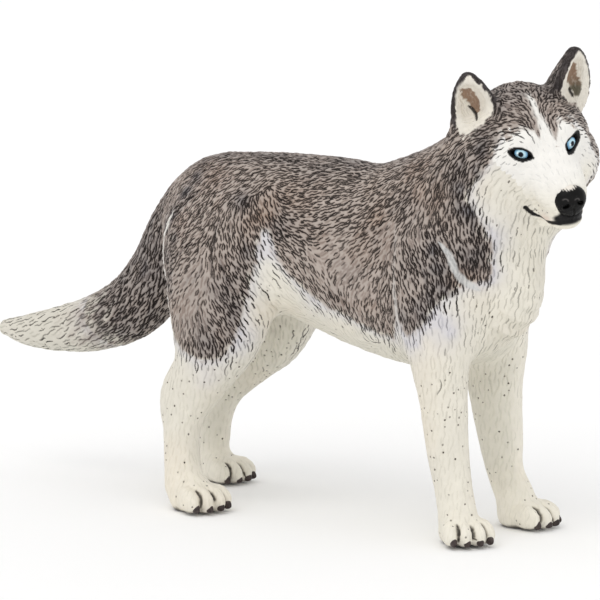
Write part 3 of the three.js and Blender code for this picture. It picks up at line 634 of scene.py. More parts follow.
# ---------------------------------------------------------------- the lie of the coat
# Each line: a place on the right side in the shared frame, the way its surface faces, the way the hair lies.
LIE = (
    (31.7, -5.7, 52.7, -0.32, -0.85, 0.42, -0.83, 0.04, -0.56),
    (25.8, -4.4, 50.7, -0.32, -0.66, 0.67, -0.91, 0.03, -0.41),
    (16.8, -2.1, 49.1, -0.31, -0.44, 0.84, -0.95, 0.20, -0.10),
    (6.8, 0.6, 49.0, -0.04, -0.11, 0.99, -0.99, 0.00, -0.03),
    (-1.8, 0.6, 49.1, 0.06, 0.03, 1.00, -0.98, -0.10, 0.07),
    (-6.1, -1.0, 49.1, -0.01, -0.31, 0.95, -0.90, -0.35, -0.13),
    (-10.3, -2.7, 48.1, -0.10, -0.56, 0.82, -0.70, -0.43, -0.45),
    (34.2, -7.4, 50.1, -0.13, -0.97, 0.21, -0.34, -0.16, -0.93),
    (25.4, -6.1, 48.3, -0.18, -0.84, 0.51, -0.74, -0.23, -0.64),
    (32.6, -7.7, 45.5, 0.02, -1.00, 0.10, -0.16, -0.10, -0.98),
    (29.4, -7.8, 45.3, -0.03, -0.97, 0.24, -0.32, -0.22, -0.92),
    (37.3, -7.5, 46.3, 0.16, -0.98, -0.10, -0.17, 0.07, -0.98),
    (38.6, -6.7, 43.1, 0.39, -0.91, -0.13, -0.17, 0.07, -0.98),
    (35.9, -7.8, 41.7, 0.33, -0.93, 0.19, 0.44, -0.03, -0.90),
    (38.2, -6.9, 38.1, 0.71, -0.70, 0.05, 0.11, 0.04, -0.99),
    (34.2, -9.0, 39.6, 0.27, -0.94, 0.22, 0.49, -0.06, -0.87),
    (29.5, -9.7, 39.3, -0.01, -0.97, 0.23, 0.65, -0.18, -0.74),
    (26.3, -8.5, 42.4, -0.08, -0.95, 0.31, -0.51, -0.22, -0.83),
    (32.0, -10.4, 34.2, 0.13, -0.99, 0.05, 0.34, -0.00, -0.94),
    (28.3, -10.3, 34.7, -0.11, -0.99, 0.05, 0.27, -0.08, -0.96),
    (24.2, -9.2, 30.8, -0.18, -0.96, -0.22, -0.20, 0.26, -0.95),
    (36.5, -8.5, 34.4, 0.62, -0.79, -0.03, -0.10, -0.05, -0.99),
    (23.2, -7.5, 44.8, -0.09, -0.93, 0.36, -0.74, -0.18, -0.65),
    (20.1, -8.3, 41.2, -0.12, -0.97, 0.23, -0.82, -0.03, -0.58),
    (17.3, -6.4, 44.9, -0.24, -0.85, 0.47, -0.89, 0.01, -0.45),
    (9.9, -4.3, 46.4, -0.04, -0.76, 0.65, -0.92, -0.22, -0.32),
    (14.0, -7.4, 41.5, -0.08, -0.93, 0.35, -0.91, -0.08, -0.41),
    (7.7, -6.0, 43.7, -0.06, -0.89, 0.45, -0.97, -0.05, -0.23),
    (17.6, -8.9, 36.4, -0.07, -0.99, 0.10, -0.77, -0.01, -0.64),
    (21.9, -9.4, 34.1, -0.06, -1.00, -0.01, -0.59, 0.05, -0.81),
    (17.1, -8.2, 30.0, -0.11, -0.94, -0.33, 0.14, 0.31, -0.94),
    (13.0, -8.3, 32.4, -0.17, -0.97, -0.19, 0.63, 0.05, -0.78),
    (8.2, -7.9, 35.9, -0.10, -0.99, -0.01, 0.73, -0.07, -0.68),
    (7.1, -7.4, 39.6, -0.07, -0.98, 0.21, 0.98, -0.10, -0.15),
    (4.0, -7.0, 40.7, 0.02, -0.96, 0.29, 0.70, -0.19, -0.69),
    (2.1, -7.3, 40.9, 0.22, -0.91, 0.35, 0.42, -0.23, -0.88),
    (0.0, -8.2, 40.0, 0.27, -0.90, 0.36, 0.59, -0.14, -0.79),
    (-2.5, -8.6, 40.4, 0.16, -0.92, 0.36, 0.04, -0.36, -0.93),
    (-3.3, -5.4, 45.7, 0.12, -0.75, 0.65, -0.69, -0.53, -0.49),
    (-7.7, -5.8, 45.4, -0.05, -0.77, 0.63, -0.59, -0.49, -0.64),
    (-7.4, -8.4, 41.5, -0.06, -0.89, 0.46, -0.56, -0.35, -0.76),
    (-8.9, -9.6, 37.8, -0.13, -0.97, 0.22, -0.80, -0.03, -0.60),
    (-10.9, -9.9, 33.5, -0.29, -0.95, 0.12, -0.78, 0.16, -0.60),
    (-1.0, -9.6, 35.6, 0.28, -0.95, 0.14, 0.46, 0.00, -0.89),
    (-4.1, -10.2, 35.4, 0.10, -0.98, 0.17, -0.03, -0.18, -0.98),
    (-7.1, -10.9, 31.1, -0.06, -0.99, 0.13, -0.55, -0.07, -0.83),
    (-2.0, -10.6, 30.1, 0.27, -0.96, 0.07, 0.62, 0.10, -0.78),
    (1.3, -9.0, 31.6, 0.53, -0.85, 0.00, 0.50, 0.30, -0.84),
    (-1.6, -10.0, 34.0, 0.20, -0.97, 0.10, 0.60, 0.05, -0.80),
    (-4.2, -11.1, 25.7, 0.16, -0.99, -0.04, 0.55, 0.05, -0.83),
    (-8.9, -11.1, 23.9, -0.14, -0.99, -0.03, -0.25, 0.06, -0.97),
    (0.0, -9.6, 25.9, 0.52, -0.83, -0.17, 0.50, 0.30, -0.80),
    (42.0, -2.8, 39.6, 0.82, -0.56, -0.07, -0.10, -0.03, -0.99),
    (40.3, -3.9, 32.9, 0.55, -0.81, -0.18, -0.30, 0.01, -0.95),
    (36.6, -6.3, 27.5, 0.92, -0.23, -0.31, -0.24, 0.30, -0.92),
    (20.0, -2.0, 26.0, 0.0, -0.1, -1.0, -1.0, 0.0, 0.0),
    (8.0, -2.0, 27.0, 0.0, -0.1, -1.0, -1.0, 0.0, 0.0),
    (33.0, -2.0, 24.0, 0.3, -0.1, -0.9, -0.9, 0.0, 0.3),
    (-15.0, -4.0, 34.0, -0.9, -0.2, 0.0, 0.0, 0.0, -1.0),
)
# The same for the head, in its own frame: place, the way it faces, the way the hair lies.
HEAD_LIE = (
    (11.5, -0.5, -2.6, 0.5, -0.1, 0.9, -0.9, -0.05, 0.45), (9.0, -0.5, -0.9, 0.4, -0.1, 0.9, -0.8, -0.1, 0.5),
    (7.2, -0.5, 1.6, 0.7, -0.1, 0.7, -0.55, -0.15, 0.8), (5.0, -0.4, 4.4, 0.6, 0.0, 0.8, -0.75, -0.3, 0.6),
    (1.5, -0.5, 6.6, 0.2, 0.0, 1.0, -0.95, -0.3, 0.1), (-3.5, -0.5, 6.4, -0.3, 0.0, 0.9, -0.95, -0.1, -0.3),
    (-7.0, -0.5, 3.6, -0.8, 0.0, 0.5, -0.6, 0.0, -0.8), (4.4, -2.8, 4.4, 0.6, -0.3, 0.7, -0.35, -0.9, 0.15),
    (2.0, -3.5, 5.4, 0.2, -0.4, 0.9, -0.6, -0.8, 0.0), (5.4, -4.6, 2.2, 0.6, -0.7, 0.4, -0.45, -0.8, -0.35),
    (3.0, -6.0, 1.6, 0.3, -0.9, 0.2, -0.7, -0.2, -0.65), (0.0, -6.4, 1.0, 0.0, -1.0, 0.1, -0.75, 0.0, -0.65),
    (6.6, -4.0, -2.0, 0.7, -0.7, 0.0, -0.7, -0.5, -0.5), (4.6, -7.0, -2.2, 0.5, -0.8, 0.0, -0.65, -0.35, -0.7),
    (2.6, -8.0, -4.4, 0.3, -1.0, 0.0, -0.6, -0.15, -0.8), (4.0, -6.8, -7.2, 0.4, -0.8, -0.4, -0.45, 0.1, -0.9),
    (10.0, -2.9, -4.5, 0.3, -0.9, 0.1, -0.95, -0.25, -0.2), (8.6, -3.2, -6.6, 0.2, -0.9, -0.2, -0.9, -0.2, -0.4),
    (9.0, -1.5, -8.8, 0.1, -0.3, -0.9, -0.95, -0.1, -0.1), (5.5, -1.5, -10.0, 0.5, -0.2, -0.8, -0.5, -0.1, -0.85),
    (-4.0, -7.0, -3.0, -0.3, -0.9, 0.0, -0.5, 0.1, -0.85), (-5.5, -5.0, 2.0, -0.6, -0.7, 0.3, -0.6, -0.1, -0.8),
)


def make_lie():
    rows = []
    for r in LIE:
        p, n, d = np.array(r[:3]) - CHART, np.array(r[3:6]), np.array(r[6:])
        for s in (1, -1):
            m = np.array([1, s, 1])
            rows.append((p * m, unit(n * m), unit(d * m), 1.0))
    for r in HEAD_LIE:
        p, n, d = np.array(r[:3]), np.array(r[3:6]), np.array(r[6:])
        for s in (1, -1):
            m = np.array([1, s, 1])
            rows.append((from_head(p * m), unit(n * m) @ HEAD_R.T, unit(d * m) @ HEAD_R.T, 1.0))
    C = np.array([r[0] for r in rows])
    CN = np.array([r[1] for r in rows])
    CD = np.array([r[2] for r in rows])
    # the lie is blended as undirected lines, so that opposite hair makes a parting instead of nothing
    vec, lines = np.zeros_like(BASE_V), np.zeros((len(BASE_V), 3, 3))
    sigma = 1.9
    for i in range(len(C)):
        d2 = ((BASE_V - C[i]) ** 2).sum(1)
        w = np.exp(-d2 / (2 * sigma**2)) + 0.01 * np.exp(-d2 / (2 * (3 * sigma) ** 2))
        w *= np.clip(0.45 + 0.55 * (BASE_N @ CN[i]), 0.02, 1) ** 2
        vec += w[:, None] * CD[i]
        lines += w[:, None, None] * np.outer(CD[i], CD[i])
    legs = smooth(26, 20, BASE_V[:, 2]) * np.where(BASE_V[:, 0] > -34, 1, 0)
    down = unit(np.array([-0.12, 0, -1.0]))
    w = 1e-4 + 3 * legs
    vec += w[:, None] * down
    lines += w[:, None, None] * np.outer(down, down)
    flat = np.eye(3) - BASE_N[:, :, None] * BASE_N[:, None, :]
    lines = flat @ lines @ flat
    lines /= np.maximum(np.trace(lines, axis1=1, axis2=2), 1e-12)[:, None, None]
    deg = np.bincount(BASE_E.ravel(), minlength=len(BASE_V))
    for _ in range(4):
        s = np.stack([np.bincount(BASE_E[:, 0], lines.reshape(-1, 9)[BASE_E[:, 1], c], len(BASE_V)) + np.bincount(BASE_E[:, 1], lines.reshape(-1, 9)[BASE_E[:, 0], c], len(BASE_V)) for c in range(9)], 1)
        lines = 0.4 * lines + 0.6 * (s / deg[:, None]).reshape(-1, 3, 3)
    out = np.linalg.eigh(lines)[1][:, :, 2]
    out *= np.where((out * vec).sum(1) < 0, -1, 1)[:, None]
    # along the tail, leaning a little outwards and down
    S = LIMBS["tail"].S[:, :3]
    T = unit(np.diff(S, axis=0))
    M = (S[1:] + S[:-1]) / 2
    near = ((BASE_V[:, None, :] - M[None]) ** 2).sum(2).argmin(1)
    along = T[near]
    on_tail = smooth(1.2, 0.0, DIST["tail"] - np.minimum(DIST["trunk"], 3.0))[:, None] * (BASE_V[:, 0:1] < -24)
    lean = np.array([0, 0, -0.25])
    out = out * (1 - on_tail) + on_tail * (along + lean) * 2
    for s in (-1, 1):
        e = EAR_Z[s]
        on = ((e[:, 2] > 0.5) & (e[:, 2] < EAR_H + 1) & (np.abs(e[:, 1]) < 4.2) & (np.abs(e[:, 0]) < 5) & (BASE_H[:, 1] * s > 0) & (BASE_H[:, 2] > 4.0))[:, None]
        up = ear_frame(s)[1][:, 2] * np.array([1, s, 1])
        out = np.where(on, (up + 0.12 * np.array([0, s, 0])) @ HEAD_R.T, out)
    out -= (out * BASE_N).sum(1, keepdims=True) * BASE_N
    return unit(out)


BASE_D = make_lie()


# ---------------------------------------------------------------- markings
# Lower edge of the dark coat on the side of the body: distance along, height (shared frame).
SIDE_EDGE = np.array((
    (-30, 25.5), (-19, 25.2), (-15, 24.8), (-12, 23.5), (-9.8, 22.1), (-6.2, 20.8), (-3, 21.2), (-1.1, 23), (0.6, 27), (1.7, 32),
    (2.2, 36), (2.7, 39.6), (3.6, 38), (5.2, 35.2), (8.8, 32), (12.5, 30.2), (17.7, 28.6), (22.6, 26.8), (25.6, 26.4),
    (27.2, 29.4), (28.6, 27.4), (31.9, 28.9), (33.9, 31.8), (36.8, 34.6), (46, 37),
))
# Front of the neck: height, middle of the pale part, half its width, in degrees round an upright line.
BIB = np.array(((20, 0, 90), (30, 0, 84), (32.5, 0, 76), (34, -4, 58), (35.4, -10, 32.5), (39.4, -11, 31), (44, -12, 32), (48, -18, 38), (60, -35, 40)))
BIB_X = 33.0
# The pale mask of the face: place across (the dog's left is positive), height of its upper edge.
MASK_TOP = np.array((
    (-10.2, -4.7), (-9.15, -2.9), (-7.23, -0.5), (-6.9, -0.15), (-6.1, 1.2), (-5.4, 1.9), (-4.2, 2.45), (-2.7, 3.15), (-1.8, 2.9), (-1.25, 2.5), (-0.87, 1.8), (-0.5, 2.6),
    (0.0, 2.9), (0.55, 2.4), (0.85, 1.6), (1.14, 1.0), (1.5, 1.9), (2.1, 2.8), (2.76, 3.15), (3.6, 2.5), (4.8, 1.6), (5.9, 0.3), (6.2, -1.2), (7.1, -3.0), (7.4, -4.4), (9.4, -7.0),
))
MASK_BACK = np.array(((-14, 6.4), (-10, 5.6), (-8, 5.0), (-6, 4.3), (-4.6, 3.9), (-2.9, 4.2), (-0.5, 4.8), (2, 4.4), (4, 3.0)))
# The white line up the forehead: height, its place across, half its width.
STRIPE = np.array(((1.0, 0.38, 0.62), (1.4, 0.36, 0.58), (3.2, 0.15, 0.54), (4.4, -0.05, 0.46), (5.3, 0.0, 0.34), (5.9, 0.0, 0.16)))


def off_line(x, z, line):
    """Signed distance from a line given as a height for each x; above is positive."""
    best = np.full(len(x), 1e9)
    for (x0, z0), (x1, z1) in zip(line[:-1], line[1:]):
        dx, dz = x1 - x0, z1 - z0
        t = np.clip(((x - x0) * dx + (z - z0) * dz) / (dx * dx + dz * dz), 0, 1)
        best = np.minimum(best, np.hypot(x - x0 - t * dx, z - z0 - t * dz))
    return np.where(z > np.interp(x, line[:, 0], line[:, 1]), best, -best)


def markings(P, N, piece):
    """Dark-coat field in mm: positive on the dark coat, negative on the pale parts."""
    x, y, z = (P + CHART * np.array([1, 0, 0])).T
    H = to_head(P)
    s = np.sign(y)
    xs = np.where((y > 0) & (x < 6) & (z < 34), x + 2.5 * smooth(34, 26, z), x)
    side = off_line(xs, z, SIDE_EDGE)
    a = np.degrees(np.arctan2(y, x - BIB_X))
    mid = np.interp(z, BIB[:, 0], BIB[:, 1])
    half = np.interp(z, BIB[:, 0], BIB[:, 2])
    r = np.hypot(x - BIB_X, y)
    front = (np.abs(a - mid) - half) * np.radians(1) * r
    front = np.where(x < BIB_X - 2, 6.0, front)
    g = np.minimum(side, front)
    inner = (N[:, 1] * s + 0.12) * 5
    low = smooth(35, 31, z)
    g = np.where(low > 0, np.minimum(g, inner + (1 - low) * 8), g)
    # head
    top = np.interp(H[:, 1], MASK_TOP[:, 0], MASK_TOP[:, 1]) - H[:, 2]
    back = H[:, 0] - np.interp(H[:, 2], MASK_BACK[:, 0], MASK_BACK[:, 1])
    mask = np.minimum(top, back)
    across, half_wide = (np.interp(H[:, 2], STRIPE[:, 0], STRIPE[:, k]) for k in (1, 2))
    stripe = np.minimum(half_wide - np.abs(H[:, 1] - across), 5.9 - H[:, 2])
    stripe = np.where((H[:, 2] > 0.5) & (H[:, 0] > 1), stripe, -9)
    face = -np.maximum(mask, stripe)
    w = smooth(-12.5, -7.5, H[:, 2] - 0.15 * (H[:, 0] - 5)) * smooth(-9, -4, H[:, 0])
    on_head = piece == PIECES.index("head")
    w = np.where(on_head, np.maximum(w, smooth(-12.5, -9.0, H[:, 2])), np.where(piece == PIECES.index("neck"), w, 0))
    g = g * (1 - w) + face * w
    # tail
    tail = (x + 33.4) * 0.8 + np.where(N[:, 2] < 0, N[:, 2] * 3.0, N[:, 2] * 1.0)
    g = np.where(piece == PIECES.index("tail"), tail, g)
    return g


PIECE_OF_FINE = np.zeros(FINE_COUNT, np.int64)
PIECE_OF_FINE[GRIDS.reshape(len(GRIDS), -1)] = BASE_PIECE[:, None]
PIECE_OF_BASE = PIECE_OF_FINE[: len(BASE_V)]
BASE_G = markings(BASE_V, BASE_N, PIECE_OF_BASE)
FINE_G = markings(FINE_V, FINE_N, PIECE_OF_FINE)

# Soft spots (shared frame, right side, mirrored): place, reach, amount.
PLAIN_SPOTS = ((-7.6, -10.9, 31.5, 3.6, 0.9), (-8.6, -10.9, 27.5, 3.0, 0.9), (-6.0, -10.9, 26.5, 2.4, 0.6), (17.6, -8.9, 36.4, 3.6, 0.75), (20.4, -9.2, 33.4, 3.2, 0.7),
               (13.6, -8.2, 36.4, 3.4, 0.55), (24.6, -9.0, 41.6, 1.5, 0.9), (24.8, -9.4, 38.6, 1.5, 0.8), (28.6, -9.4, 42.6, 1.5, 0.5), (-10.5, -10.6, 24.5, 2.0, 0.5))
WARM_SPOTS = ((2.0, -6.8, 42.5, 2.6, 0.85), (36.5, -8.6, 35.2, 1.8, 0.9), (6.0, -5.5, 44.5, 2.4, 0.4), (-8.6, -4.5, 46.2, 2.6, 0.35), (22.0, -7.8, 43.0, 3.0, 0.3), (31.0, -7.7, 46.5, 3.0, 0.4), (26.0, -5.8, 48.6, 2.6, 0.35))
DARK_SPOTS = ((-1.8, -6.8, 43.6, 1.7, 0.75), (0.8, -8.8, 36.8, 1.5, 0.8), (0.4, -9.7, 29.9, 2.0, 0.7), (32.8, -9.4, 39.5, 1.4, 0.85), (33.7, -9.7, 37.2, 1.6, 0.85), (33.4, -10.1, 32.5, 1.7, 0.8), (35.7, -7.6, 47.8, 1.7, 0.85),
              (-12.6, -8.7, 37.7, 1.4, 0.6), (-0.8, -9.6, 33.5, 2.8, 0.45), (-2.2, -10.6, 30.0, 2.4, 0.45), (-15.0, -7.6, 35.5, 2.2, 0.6), (-14.2, -8.2, 31.5, 2.0, 0.45), (-4.2, -11.1, 23.6, 3.2, 0.7), (-0.4, -10.0, 28.0, 2.2, 0.6), (34.4, -9.6, 34.0, 2.4, 0.75), (31.8, -10.4, 31.2, 2.4, 0.7), (37.6, -7.5, 39.0, 2.6, 0.7),
              (37.0, -7.7, 45.0, 2.4, 0.8), (38.0, -7.4, 42.0, 2.2, 0.6), (35.4, -7.6, 49.5, 2.4, 0.55), (30.0, -9.6, 37.0, 2.8, 0.45), (5.0, -7.0, 40.5, 2.4, 0.45), (16.0, -8.0, 30.2, 2.4, 0.35),
              (-11.8, -4.6, 46.3, 1.5, 0.9), (-13.0, -6.0, 43.9, 1.5, 1.0), (-14.6, -6.8, 41.2, 1.4, 1.0), (-15.9, -6.7, 39.0, 1.3, 0.85), (28.0, -10.0, 30.0, 2.0, 0.5))
BLUE_SPOTS = ((3.0, -7.6, 37.5, 2.0, 0.7), (34.5, -9.6, 29.2, 2.6, 0.9), (29.5, -10.2, 27.5, 2.6, 0.8), (39.4, -6.4, 36.5, 2.2, 0.7), (40.2, -5.8, 41.0, 2.0, 0.6), (0.6, -9.4, 24.6, 2.4, 0.6), (-5.0, -10.8, 19.2, 2.4, 0.45), (27.2, -9.9, 31.0, 1.4, 0.7), (11.0, -7.6, 30.2, 2.4, 0.3))


def spots(P, rows):
    out = np.zeros(len(P))
    for x, y, z, r, amount in rows:
        for s in (1, -1):
            c = np.array([x - CHART[0], (y - CHART[1]) * s, z])
            out = np.maximum(out, amount * np.exp(-((P - c) ** 2).sum(1) / (r * r)))
    return out


BASE_PLAIN, BASE_DARK, BASE_BLUE, BASE_WARM = (spots(BASE_V, rows) for rows in (PLAIN_SPOTS, DARK_SPOTS, BLUE_SPOTS, WARM_SPOTS))
_h = BASE_H
for hx, hy, hz, reach, amount in ((3.6, 6.2, 2.2, 2.0, 0.8), (3.7, 7.8, 0.6, 1.4, 0.75), (3.9, 8.9, -1.7, 1.3, 0.7), (3.7, 9.7, -3.8, 1.4, 0.75), (1.0, 5.0, 5.0, 1.5, 0.6)):
    BASE_DARK = np.maximum(BASE_DARK, amount * np.exp(-((_h[:, 0] - hx) ** 2 + (np.abs(_h[:, 1]) - hy) ** 2 + (_h[:, 2] - hz) ** 2) / reach**2))
BASE_DARK = np.maximum(BASE_DARK, 0.55 * smooth(4.6, 6.0, _h[:, 1]) * smooth(-7, -4, _h[:, 2]) * smooth(4.5, 2.5, _h[:, 2]) * (_h[:, 0] > 0.5))
BASE_DARK = BASE_DARK * np.where(PIECE_OF_BASE == PIECES.index("head"), 0.35, 1)
BASE_DARK = np.maximum(BASE_DARK, 0.5 * (PIECE_OF_BASE == PIECES.index("head")) * smooth(3.2, 5.0, _h[:, 2]) * smooth(4.0, 1.5, _h[:, 0]))
BASE_DARK = np.maximum(BASE_DARK, 0.5 * (PIECE_OF_BASE == PIECES.index("tail")) * smooth(-38, -27, BASE_V[:, 0] + CHART[0]))

BASE_DARK = np.maximum(BASE_DARK, 0.6 * np.exp(-((_h[:, 0] - 3.6) ** 2 / 3 + (np.abs(_h[:, 1]) - 7.6) ** 2 / 5 + (_h[:, 2] + 2.5) ** 2 / 12)) * (BASE_G > -0.5))
BACK_LINE = smooth(5.5, 1.5, np.abs(BASE_V[:, 1])) * smooth(44, 47.5, BASE_V[:, 2]) * (BASE_V[:, 0] < 20)
BASE_DARK = np.maximum(BASE_DARK, 0.5 * BACK_LINE)
FINE_PLAIN, FINE_DARK, FINE_BLUE, FINE_WARM = spread(BASE_PLAIN), spread(BASE_DARK), spread(BASE_BLUE), spread(BASE_WARM)

# ---------------------------------------------------------------- laying strokes on the surface
TREE = KDTree(len(BASE_V))
for i, v in enumerate(BASE_V):
    TREE.insert(v, i)
TREE.balance()


def nearest(P):
    return np.array([TREE.find(p)[1] for p in P.tolist()], int)


def settle(P):
    i = nearest(P)
    return P - ((P - BASE_V[i]) * BASE_N[i]).sum(1, keepdims=True) * BASE_N[i], i


class Cells:
    """Points sorted into small cubes, to find those near a short segment."""

    def __init__(self, V, cell):
        self.cell, self.lo = cell, V.min(0) - 2 * cell
        k = np.floor((V - self.lo) / cell).astype(np.int64)
        self.n = k.max(0) + 3
        key = (k[:, 0] * self.n[1] + k[:, 1]) * self.n[2] + k[:, 2]
        self.order = np.argsort(key, kind="stable")
        self.keys, self.start, self.count = np.unique(key[self.order], return_index=True, return_counts=True)

    def near(self, M):
        """Pairs (row of M, point) for points in the cubes round each row."""
        k = np.floor((M - self.lo) / self.cell).astype(np.int64)
        rows, starts, counts = [], [], []
        for a in (-1, 0, 1):
            for b in (-1, 0, 1):
                for c in (-1, 0, 1):
                    q = k + (a, b, c)
                    key = (q[:, 0] * self.n[1] + q[:, 1]) * self.n[2] + q[:, 2]
                    at = np.searchsorted(self.keys, key)
                    at[at == len(self.keys)] = 0
                    ok = np.nonzero((self.keys[at] == key) & (q >= 0).all(1))[0]
                    rows.append(ok)
                    starts.append(self.start[at[ok]])
                    counts.append(self.count[at[ok]])
        rows, starts, counts = map(np.concatenate, (rows, starts, counts))
        total = int(counts.sum())
        first = np.repeat(starts - np.concatenate([[0], np.cumsum(counts)[:-1]]), counts)
        return np.repeat(rows, counts), self.order[first + np.arange(total)]


NARROW, BROAD = Cells(FINE_V, 0.36), Cells(FINE_V, 1.0)
NO_STROKE = 10**12


def measured(paths, cells, step):
    """For each batch of pieces of the paths: the points near them, how far off, how far along (0-1), which stroke."""
    n, K, _ = paths.shape
    A, B = paths[:, :-1].reshape(-1, 3), paths[:, 1:].reshape(-1, 3)
    stroke = np.repeat(np.arange(n), K - 1)
    u0 = np.tile(np.arange(K - 1) / (K - 1), n)
    for lo in range(0, len(A), step):
        sl = slice(lo, lo + step)
        a, b, st, u = A[sl], B[sl], stroke[sl], u0[sl]
        r, v = cells.near((a + b) / 2)
        ab = b - a
        p = FINE_V[v] - a[r]
        t = np.clip((p * ab[r]).sum(1) / np.maximum((ab * ab).sum(1)[r], 1e-9), 0, 1)
        p -= t[:, None] * ab[r]
        yield v, np.sqrt((p * p).sum(1)), u[r] + t / (K - 1), st[r]


def draw(paths, width, out, gain=None, blunt=0.25):
    """Soft strokes along paths (n, K, 3): out takes the largest of gain * closeness, 1 on the line and 0 at its width."""
    width = np.broadcast_to(np.asarray(width, float), (len(paths),))
    gain = np.broadcast_to(np.asarray(1.0 if gain is None else gain, float), (len(paths),))
    for v, d, u, st in measured(paths, BROAD, 3000):
        w = width[st] * np.clip(np.minimum(u, 1 - u) / blunt, 0.02, 1) ** 0.5
        keep = d < w
        np.maximum.at(out, v[keep], (1 - d[keep] / w[keep]) * gain[st[keep]])


def engrave(paths, width, key, blunt=0.3):
    """Crisp strokes: key keeps the stroke whose edge is nearest, as distance beyond that edge and the stroke's number."""
    for v, d, u, st in measured(paths, NARROW, 16000):
        w = width[st] * np.clip(np.minimum(u, 1 - u) / blunt, 0.0, 1) ** 0.5
        near = d < 0.42
        beyond = ((d[near] - w[near] + 0.5) * 10000).astype(np.int64)
        np.minimum.at(key, v[near], beyond * 1000000 + st[near])


def read_key(key):
    """Distance beyond the nearest stroke's edge, that stroke's number, and whether there is one."""
    ok = key < NO_STROKE
    return np.where(ok, key // 1000000 / 10000 - 0.5, 0.4), np.where(ok, key % 1000000, 0), ok


def scatter(count, across, along, seed):
    """Places on the base facets no closer than `across` sideways and `along` lengthways, both arrays over base points."""
    rng = np.random.default_rng(seed)
    f = rng.integers(0, len(BASE_Q), count)
    a, b = rng.random(count), rng.random(count)
    w = np.stack([(1 - a) * (1 - b), a * (1 - b), a * b, (1 - a) * b], 1)[:, :, None]
    P = (BASE_V[BASE_Q[f]] * w).sum(1)
    D = unit((BASE_D[BASE_Q[f]] * w).sum(1))
    ac = (across[BASE_Q[f]] * w[:, :, 0]).sum(1)
    al = (along[BASE_Q[f]] * w[:, :, 0]).sum(1)
    cells = Cells(P, float(max(ac.max(), al.max())))
    losers = []
    for lo in range(0, count, 8000):
        r, v = cells.near(P[lo : lo + 8000])
        r = r + lo
        ok = v > r
        r, v = r[ok], v[ok]
        d = P[v] - P[r]
        l = (d * D[r]).sum(1)
        c2 = np.maximum((d * d).sum(1) - l * l, 0)
        hit = (l / al[r]) ** 2 + c2 / ac[r] ** 2 < 1
        losers.append((r[hit], v[hit]))
    i = np.concatenate([a for a, _ in losers])
    j = np.concatenate([b for _, b in losers])
    alive, taken = np.ones(count, bool), np.zeros(count, bool)
    while alive.any():
        live = alive[i] & alive[j]
        i, j = i[live], j[live]
        beaten = np.zeros(count, bool)
        beaten[j] = True  # a smaller number was thrown first
        won = alive & ~beaten
        taken |= won
        alive &= ~won
        gone = np.zeros(count, bool)
        gone[j[won[i]]] = True
        alive &= ~gone
    return P[taken]


def trace(S, length, wave, seed, K=7, bend=0.0):
    """Lines of hair through the places S, following the lie of the coat."""
    rng = np.random.default_rng(seed)
    n = len(S)
    length = np.broadcast_to(length, (n,))
    phase, rate, lean = rng.random(n) * 6.28, rng.uniform(1.0, 2.4, n), rng.normal(0, 0.12, n) + bend
    out = np.empty((n, K, 3))
    mid = K // 2
    out[:, mid] = S
    step = (length / (K - 1))[:, None]
    for sign in (1, -1):
        p, i = settle(S)
        last = BASE_D[i] * sign
        for k in range(1, mid + 1):
            a = (lean + wave * np.sin(phase + rate * sign * k))[:, None]
            d, nn = BASE_D[i], BASE_N[i]
            d = d * np.where((d * last).sum(1, keepdims=True) < 0, -1, 1)
            last = d
            d = np.cos(a) * d + np.sin(a) * sign * np.cross(nn, d)
            p, i = settle(p + step * d)
            out[:, mid + sign * k] = p
    return out


# ---------------------------------------------------------------- the sculpted coat
CREASE = np.zeros(FINE_COUNT)

_x, _y, _z = (BASE_V + CHART * np.array([1, 0, 0])).T
_grey = smooth(-0.6, 0.6, BASE_G)
_leg = smooth(20, 15, _z)
_tail = PIECE_OF_BASE == PIECES.index("tail")
_neck = PIECE_OF_BASE == PIECES.index("neck")
_head = PIECE_OF_BASE == PIECES.index("head")
ACROSS = 0.252 + 0.28 * (1 - _grey) + 0.08 * BASE_PLAIN * _grey + 0.03 * _tail - 0.01 * _neck - 0.012 * _head
ALONG = 1.02 + 0.4 * (1 - _grey) + 0.5 * BASE_PLAIN + 0.25 * _tail + 0.12 * _neck - 0.14 * _head

rng = np.random.default_rng(11)
SEEDS = scatter(230000, ACROSS, ALONG, 3)
_, _i = settle(SEEDS)
s_g, s_plain, s_dark = markings(SEEDS, BASE_N[_i], PIECE_OF_BASE[_i]), BASE_PLAIN[_i], BASE_DARK[_i]
s_grey = s_g + rng.normal(0, 0.45, len(_i)) > -0.1
s_len = ALONG[_i] * rng.uniform(0.7, 1.7, len(_i)) * (1 - 0.35 * s_plain) * np.where(_head[_i] & (s_g < -0.5), 0.65, 1)
LINES = trace(SEEDS, s_len, 0.30, 5)
s_wide = np.where(s_grey, rng.uniform(0.060, 0.102, len(_i)), rng.uniform(0.055, 0.08, len(_i))) + 0.006 * _tail[_i] - 0.008 * _head[_i]
s_cut = np.where(s_grey, rng.uniform(0.7, 1.0, len(_i)) * (1 - 0.6 * s_plain), rng.uniform(0.3, 0.7, len(_i)))
s_cut *= np.where(_leg[_i] > 0.5, 0.18, 1.0)
s_ink = rng.uniform(0.85, 1.0, len(_i)) * np.where(rng.random(len(_i)) < 0.97 - 0.72 * s_plain, 1, 0.10) * (1 - 0.2 * s_plain) + 0.2 * s_dark
edge = np.exp(-np.maximum(-s_g - 0.3, 0) / 1.1)
s_pale = np.where(rng.random(len(_i)) < 0.85 * edge, rng.uniform(0.4, 1.0, len(_i)), rng.uniform(0.02, 0.20, len(_i)))
_tx = _x[_i]
s_pale = np.where(_tail[_i] & (rng.random(len(_i)) < 0.8), rng.uniform(0.5, 0.95, len(_i)) * smooth(-55, -49, _tx), s_pale)
_chest = (SEEDS[:, 0] + SHIFT[0] > 33) & (SEEDS[:, 2] > 25) & (SEEDS[:, 2] < 46) & ~_head[_i]
